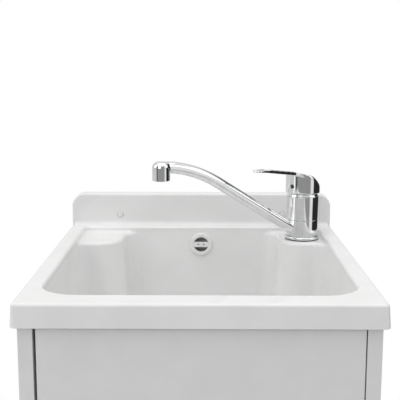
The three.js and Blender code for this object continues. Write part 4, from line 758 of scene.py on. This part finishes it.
def spout_line(start, end, steps=26):
    """The spout's centre line: up a slope, then bent over to the outlet."""
    out = Vector((math.cos(SPOUT_HEADING), math.sin(SPOUT_HEADING), 0))

    def at(reach, z):
        return out * reach + Vector((0, 0, z))

    a = at(SPOUT_STRAIGHT, SPOUT_ROOT + SPOUT_STRAIGHT * SPOUT_SLOPE)
    b = at((SPOUT_RISE - SPOUT_ROOT) / SPOUT_SLOPE, SPOUT_RISE)
    c = at(end, SPOUT_RISE)
    run = [at(start, SPOUT_ROOT + start * SPOUT_SLOPE).lerp(a, k / 8) for k in range(8)]
    shares = [k / steps for k in range(steps + 1)]
    return run + [a * (1 - t) ** 2 + b * 2 * t * (1 - t) + c * t * t for t in shares]


def outlet_place():
    """From the tap's axis to the outlet's."""
    x, y = SPOUT_REACH * math.cos(SPOUT_HEADING), SPOUT_REACH * math.sin(SPOUT_HEADING)
    return Matrix.Translation((x, y, 0))


def spout():
    """Swivel collar, tube and outlet head, in one polished piece."""
    profile = section(
        (COLLAR_BORE_R, COLLAR_LOW),
        (COLLAR_R, COLLAR_LOW, EDGE_EASE),
        (COLLAR_R, COLLAR_TOP, EDGE_EASE),
        (COLLAR_BORE_R, COLLAR_TOP),
    )
    collar = turned("collar", profile, TAP_SIDES)
    top, under = SPOUT_RISE + SPOUT_R, HEAD_LOW - 3
    profile = section((0, under), (HEAD_R, under), (HEAD_R, top, HEAD_TOP_R), (0, top), steps=10)
    head = moved(turned("head", profile, 72), outlet_place())
    tube = swept("tube", spout_line(SPOUT_START, SPOUT_REACH), SPOUT_R, 48)
    arm = melted(joined(tube, head), 0.8, 10)
    below = moved(block("below", (-20, -20, HEAD_LOW - 9), (20, 20, HEAD_LOW)), outlet_place())
    bore = rod("bore", COLLAR_BORE_R, 0, 42, 0, 0, TAP_SIDES)
    seat = rod("seat", HEAD_SEAT_R, HEAD_LOW - OVERLAP, HEAD_LOW + HEAD_SEAT_DEPTH, 0, 0, 64)
    return joined(collar, cut(arm, bore, below, moved(seat, outlet_place())))


def hood_top(x):
    """Level of the hood's sloping top at a distance from the tap's axis towards the lever."""
    return RIM_Z + HOOD_HEIGHT + (x + HANDLE_R) * HOOD_SLOPE


def hood():
    """A round cap with a sloping top, its edge rounded most at the back and the sides."""
    spokes = [2 * math.pi * i / TAP_SIDES for i in range(TAP_SIDES)]

    def ring(radius, height):
        return [(radius * math.cos(a), radius * math.sin(a), height) for a in spokes]

    rings = [ring(HANDLE_R - 0.6, RIM_Z), ring(HANDLE_R - 0.2, RIM_Z + 0.2), ring(HANDLE_R, RIM_Z + 0.6)]
    for turn in [math.radians(9 * i) for i in range(11)]:
        edge = []
        for a in spokes:
            aside = math.degrees(math.acos(math.cos(a)))
            share = min(1.0, max(0.0, (aside - HOOD_EASE_START) / HOOD_EASE_SPAN))
            ease = HOOD_FRONT_EASE + (HOOD_EASE - HOOD_FRONT_EASE) * share * share * (3 - 2 * share)
            radius = HANDLE_R - ease * (1 - math.cos(turn))
            x = radius * math.cos(a)
            edge.append((x, radius * math.sin(a), hood_top(x) - ease * (1 - math.sin(turn))))
        rings.append(edge)
    return lofted("hood", rings)


def lever():
    """The flat lever: its outline from the side, cut to its outline from above."""
    tip = RIM_Z + LEVER_RISE
    thick = LEVER_THICK + 3
    nose = LEVER_THICK * 0.3
    side = rounded([
        (LEVER_START, hood_top(LEVER_START) - thick, 0.5, 1),
        (LEVER_ROOT - 10, hood_top(LEVER_ROOT) - thick, 10, 10),
        (LEVER_REACH - 13, tip - LEVER_THICK + 0.6, 60, 12),
        (LEVER_REACH, tip - LEVER_THICK + 1.6, nose, 5),
        (LEVER_REACH, tip, nose, 5),
        (LEVER_REACH - 26, tip - 0.4, 90, 14),
        (LEVER_ROOT, hood_top(LEVER_ROOT), 120, 14),
        (LEVER_START, hood_top(LEVER_START), 0.5, 1),
    ])
    start, root, end = LEVER_HALF_WIDTHS
    above = rounded([
        (LEVER_START, -start, 1, 1),
        (LEVER_ROOT, -root, 40, 12),
        (LEVER_REACH, -end, 8.2, 14),
        (LEVER_REACH, end, 8.2, 14),
        (LEVER_ROOT, root, 40, 12),
        (LEVER_START, start, 1, 1),
    ])
    blade = lofted("lever", [[(x, y, z) for x, z in side] for y in (-HANDLE_R, HANDLE_R)])
    plan = lofted("lever_plan", [at_level(above, z) for z in (RIM_Z, tip + OVERLAP)])
    return worked(blade, "INTERSECT", [plan])


def handle():
    """Hood and lever in one casting, hollow over the ball of the ring below."""
    form = joined(hood(), lever())
    room = BALL_R + BALL_ROOM
    dome = [(x, PIVOT_Z + z) for x, z in arc(0, 0, room, -90, 90, 40)]
    ball = turned("ball", [(0, PIVOT_Z - room), *dome[1:-1], (0, PIVOT_Z + room)], 80)
    start, end = [LEVER_REACH - distance for distance in SLOT_ENDS]
    low, high = RIM_Z + 12.5, RIM_Z + 62.5
    slot = joined(
        block("slot", (start, -SLOT_HALF, low), (end, SLOT_HALF, high)),
        rod("slot_a", SLOT_HALF, low, high, start, 0, 32),
        rod("slot_b", SLOT_HALF, low, high, end, 0, 32),
    )
    melted(cut(form, ball, slot), 0.6, 5)
    plug_hole = rod("plug_hole", PLUG_HOLE_R, *PLUG_HOLE, 0, 0, 32)
    moved(plug_hole, Matrix.Translation((0, 0, PLUG_Z)) @ ALONG_X)
    return cut(form, plug_hole)


def dome_ring():
    """The polished ring between body and handle: a zone of a ball about the pivot."""

    def zone(radius, low, high):
        start = math.degrees(math.asin((low - PIVOT_Z) / radius))
        end = math.degrees(math.asin((high - PIVOT_Z) / radius))
        return arc(0, PIVOT_Z, radius, start, end, 8)

    low, high = [BODY_TOP + edge for edge in BALL_RING]
    inside = zone(BALL_R - BALL_WALL, low, high)
    return turned("ball_ring", zone(BALL_R, low, high) + inside[::-1], TAP_SIDES)


def tap_body():
    """The casting, from its spigot in the ledge's hole to the room of the cartridge."""
    floor = BODY_LOW + BODY_FLOOR
    profile = section(
        (0, BODY_SPIGOT_END),
        (BODY_SPIGOT_R, BODY_SPIGOT_END),
        (BODY_SPIGOT_R, FOOT_LOW),
        (BODY_STEM_R, FOOT_LOW),
        (BODY_STEM_R, BODY_LOW),
        (COLLAR_R, BODY_LOW, EDGE_EASE),
        (BODY_TOP_R, BODY_TOP, 1),
        (BODY_ROOM_R, BODY_TOP),
        (BODY_ROOM_R, floor),
        (0, floor),
    )
    casting = turned("body", profile, TAP_SIDES)
    low = BODY_SPIGOT_END - 2 * OVERLAP
    holes = [rod("inlet_hole", INLET_HOLE_R, low, 11.6, x, INLET_Y, 24) for x in (-INLET_X, INLET_X)]
    return cut(casting, *holes, rod("stud_hole", STUD_HOLE_R, low, 13.6, 0, STUD_Y, 24))


def foot_ring():
    """The ring that the tap stands on, rounded above and tucked in at its sole."""
    sole = arc(FOOT_R - FOOT_SOLE_R, FOOT_LOW + FOOT_SOLE_R, FOOT_SOLE_R, -30, 0, 2)
    edge = arc(FOOT_R - FOOT_EDGE_R, FOOT_TOP - FOOT_EDGE_R, FOOT_EDGE_R, 0, 90, 8)
    under = [(FOOT_BORE_R, FOOT_LOW), (FOOT_R - FOOT_SOLE_R / 2, FOOT_LOW)]
    return turned("tap_foot_ring", [*under, *sole, *edge, (FOOT_BORE_R, FOOT_TOP)], TAP_SIDES)


finished(foot_ring(), TAP, "stand", "chrome", CHROME, "tap_base_ring")
body = tap_body()
body.name = "tap_body_casting"
finished(body, TAP, "stand", "chrome", CHROME, "tap_body")
finished(dome_ring(), TAP, "stand", "chrome", CHROME, "tap_dome_ring")
arm = spout()
arm.name = "swivel_spout"
finished(arm, TAP, "spout", "chrome", CHROME, "spout", sharp=50)
grip = handle()
grip.name = "lever_handle"
finished(grip, LEVER, "handle", "chrome", CHROME, "tap_handle", sharp=60)
plug_profile = [(0, 28.1), (1.8, 28.0), (2.9, 27.75), (3.5, 27.2), (3.5, 25.8), (0, 25.8)]
plug_place = LEVER @ Matrix.Translation((0, 0, PLUG_Z)) @ ALONG_X
plug = turned("handle_plug", plug_profile, 40)
finished(plug, plug_place, "handle", "indicator_dark", INDICATOR, "handle_indicator")
low, high = HEAD_LOW - AERATOR_PROUD, HEAD_LOW + AERATOR_DEPTH
aerator = section(
    (AERATOR_BORE_R, low),
    (AERATOR_R, low, EDGE_EASE),
    (AERATOR_R, high),
    (AERATOR_BORE_R, high),
)
outlet = turned("aerator_ring", aerator, 64)
finished(outlet, TAP @ outlet_place(), "spout", "chrome", CHROME, "aerator_housing")


# ---------------------------------------------------------------- boards


def board(name, node):
    """A board in its CAD node's place, with eased edges and the side panels' relief."""
    low, high = (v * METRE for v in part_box(node))
    body = block(name, low, high, BOARD_EASE)
    if node.startswith("side_panel"):
        side = math.copysign(1, low[0])
        inner, outer = sorted((side * (RELIEF_X - RELIEF_SPAN), side * RELIEF_X))
        back, top = high[1] + OVERLAP, high[2] + OVERLAP
        cut(body, block("relief", (inner, RELIEF_FRONT, RELIEF_LOW), (outer, back, top)))
    return body


for node in FIXED_BOARDS:
    piece = board(node + "_board", node)
    finished(piece, Matrix.Identity(4), "stand", "panel_white", MELAMINE, node)
door = board("door_leaf", "door")
finished(door, Matrix.Identity(4), "door", "panel_white", MELAMINE, "door")


# ---------------------------------------------------------------- finishes of the CAD nodes that stay

STAY = {
    "moulded_white": MOULDED_GLOSS,
    "plastic_white": FITTING_WHITE,
    "plastic_grey": INNER_GREY,
    "foot_grey": FOOT_GREY,
    "rubber_black": RUBBER,
    "steel": ZINC,
    "chrome": CHROME,
    "brass": BRASS,
    "ceramic_white": CERAMIC,
    "indicator_dark": INDICATOR,
    "panel_white": MELAMINE,
}
slot_of = {part["node"]: part["material_slot"] for part in frame["record"]["subparts"]}
for name, node in frame["nodes"].items():
    node.data.materials.clear()
    node.data.materials.append(STAY[slot_of[name]])


# ---------------------------------------------------------------- studio


def floor_finish():
    f = Finish("studio_floor")
    f.tint(f.noise(900, 2), (0.3, grey(0.90)), (0.7, grey(0.92)))
    f.gloss(f.noise(300, 2), 0.7, 0.8)
    return f.bump(f.noise(40, 2), 0.05).material


FLOOR_HALF = 1.35  # metres
floor_form = bmesh.new()
bmesh.ops.create_grid(floor_form, x_segments=8, y_segments=8, size=FLOOR_HALF)
floor = body_from("studio_ground", floor_form)
floor.data.materials.append(floor_finish())


def softbox(name, place, aim, size, power):
    """A rectangular lamp; lengths in metres, power in watts."""
    light = bpy.data.lights.new(name, "AREA")
    light.shape = "RECTANGLE"
    light.size, light.size_y = size
    light.energy = power
    lamp = bpy.data.objects.new(name, light)
    lamp.location = place
    lamp.rotation_euler = (Vector(aim) - Vector(place)).to_track_quat("-Z", "Y").to_euler()
    bpy.context.scene.collection.objects.link(lamp)
    return lamp


def studio_air():
    """A pale room with bright screens and dark gaps round the object, white where the camera sees it."""
    world = bpy.data.worlds.new("studio")
    bpy.context.scene.world = world
    world.use_nodes = True
    tree = world.node_tree
    for node in list(tree.nodes):
        tree.nodes.remove(node)

    def node(kind, **inputs):
        made = tree.nodes.new(kind)
        for key, value in inputs.items():
            made.inputs[key].default_value = value
        return made

    def maths(operation, a, b=None):
        made = node("ShaderNodeMath")
        made.operation = operation
        for i, value in enumerate((a, b)):
            if value is None:
                continue
            if isinstance(value, float):
                made.inputs[i].default_value = value
            else:
                tree.links.new(value, made.inputs[i])
        return made.outputs[0]

    def ramp(value, stops):
        made = node("ShaderNodeValToRGB")
        made.color_ramp.interpolation = "EASE"
        first, last = made.color_ramp.elements
        first.position, first.color = stops[0][0], (*grey(stops[0][1]), 1)
        last.position, last.color = stops[-1][0], (*grey(stops[-1][1]), 1)
        for position, level in stops[1:-1]:
            made.color_ramp.elements.new(position).color = (*grey(level), 1)
        tree.links.new(value, made.inputs["Fac"])
        return made.outputs["Color"]

    direction = node("ShaderNodeTexCoord").outputs["Generated"]
    split = node("ShaderNodeSeparateXYZ")
    tree.links.new(direction, split.inputs[0])
    x, y, z = split.outputs
    azimuth = maths("ARCTAN2", x, maths("MULTIPLY", y, -1.0))
    turn = maths("ADD", maths("DIVIDE", azimuth, 2 * math.pi), 0.5)
    screens = ramp(turn, SCREENS)
    height = maths("ADD", maths("MULTIPLY", z, 0.5), 0.5)
    sky = ramp(height, SKY)
    mixed = node("ShaderNodeMix")
    mixed.data_type = "RGBA"
    tree.links.new(ramp(height, BLEND), mixed.inputs["Factor"])
    tree.links.new(screens, mixed.inputs["A"])
    tree.links.new(sky, mixed.inputs["B"])
    air = node("ShaderNodeBackground", Strength=AIR)
    tree.links.new(mixed.outputs["Result"], air.inputs["Color"])
    seen = node("ShaderNodeBackground", Strength=1.0)
    seen.inputs["Color"].default_value = (*grey(1.0), 1)
    path = node("ShaderNodeLightPath").outputs["Is Camera Ray"]
    choice = node("ShaderNodeMixShader")
    tree.links.new(path, choice.inputs[0])
    tree.links.new(air.outputs[0], choice.inputs[1])
    tree.links.new(seen.outputs[0], choice.inputs[2])
    out = node("ShaderNodeOutputWorld")
    tree.links.new(choice.outputs[0], out.inputs["Surface"])


# Turns round the object as shares of a circle, 0.5 towards the camera and 0.75 to the right
SCREENS = [
    (0.0, 0.9), (0.16, 0.8), (0.3, 0.75), (0.345, 0.6), (0.355, 0.03), (0.37, 0.03), (0.385, 0.36),
    (0.62, 0.36), (0.645, 1.0), (0.69, 1.0), (0.705, 0.03), (0.90, 0.03), (0.93, 0.9), (1.0, 0.9),
]
SKY = [(0.0, 0.35), (0.5, 0.5), (0.72, 0.85), (1.0, 1.0)]
BLEND = [(0.0, 1.0), (0.36, 0.0), (0.68, 0.0), (0.84, 1.0), (1.0, 1.0)]
AIR = 0.85

studio_air()
softbox("top_light", (0.1, -0.3, 2.6), (0, 0, 0.8), (2.4, 2.0), 12)
softbox("front_light", (-0.9, -2.4, 1.7), (0, 0, 0.7), (1.6, 1.6), 12)
for side in (-1, 1):
    softbox("side_light", (side * 2.2, -0.2, 1.9), (0, 0, 0.8), (1.4, 1.4), 8)
bpy.context.scene.view_settings.view_transform = "Standard"

# ---------------------------------------------------------------- camera

PICTURE_PX = 400
FOCAL_PX = 824.1
SENSOR = 36.0
CAMERA_PLACE = (0.0035, -1.1692, 1.1304)  # metres
CAMERA_HEADING = math.radians(0.232)
CAMERA_TILT = math.radians(90 - 9.579)  # from straight down
CAMERA_ROLL = math.radians(0.111)

camera_data = bpy.data.cameras.new("camera")
camera_data.sensor_width = SENSOR
camera_data.lens = SENSOR * FOCAL_PX / PICTURE_PX
camera = bpy.data.objects.new("camera", camera_data)
camera.location = CAMERA_PLACE
aim = Matrix.Rotation(CAMERA_HEADING, 3, "Z") @ Matrix.Rotation(CAMERA_TILT, 3, "X")
camera.rotation_euler = (aim @ Matrix.Rotation(CAMERA_ROLL, 3, "Z")).to_euler()
bpy.context.scene.collection.objects.link(camera)
bpy.context.scene.camera = camera
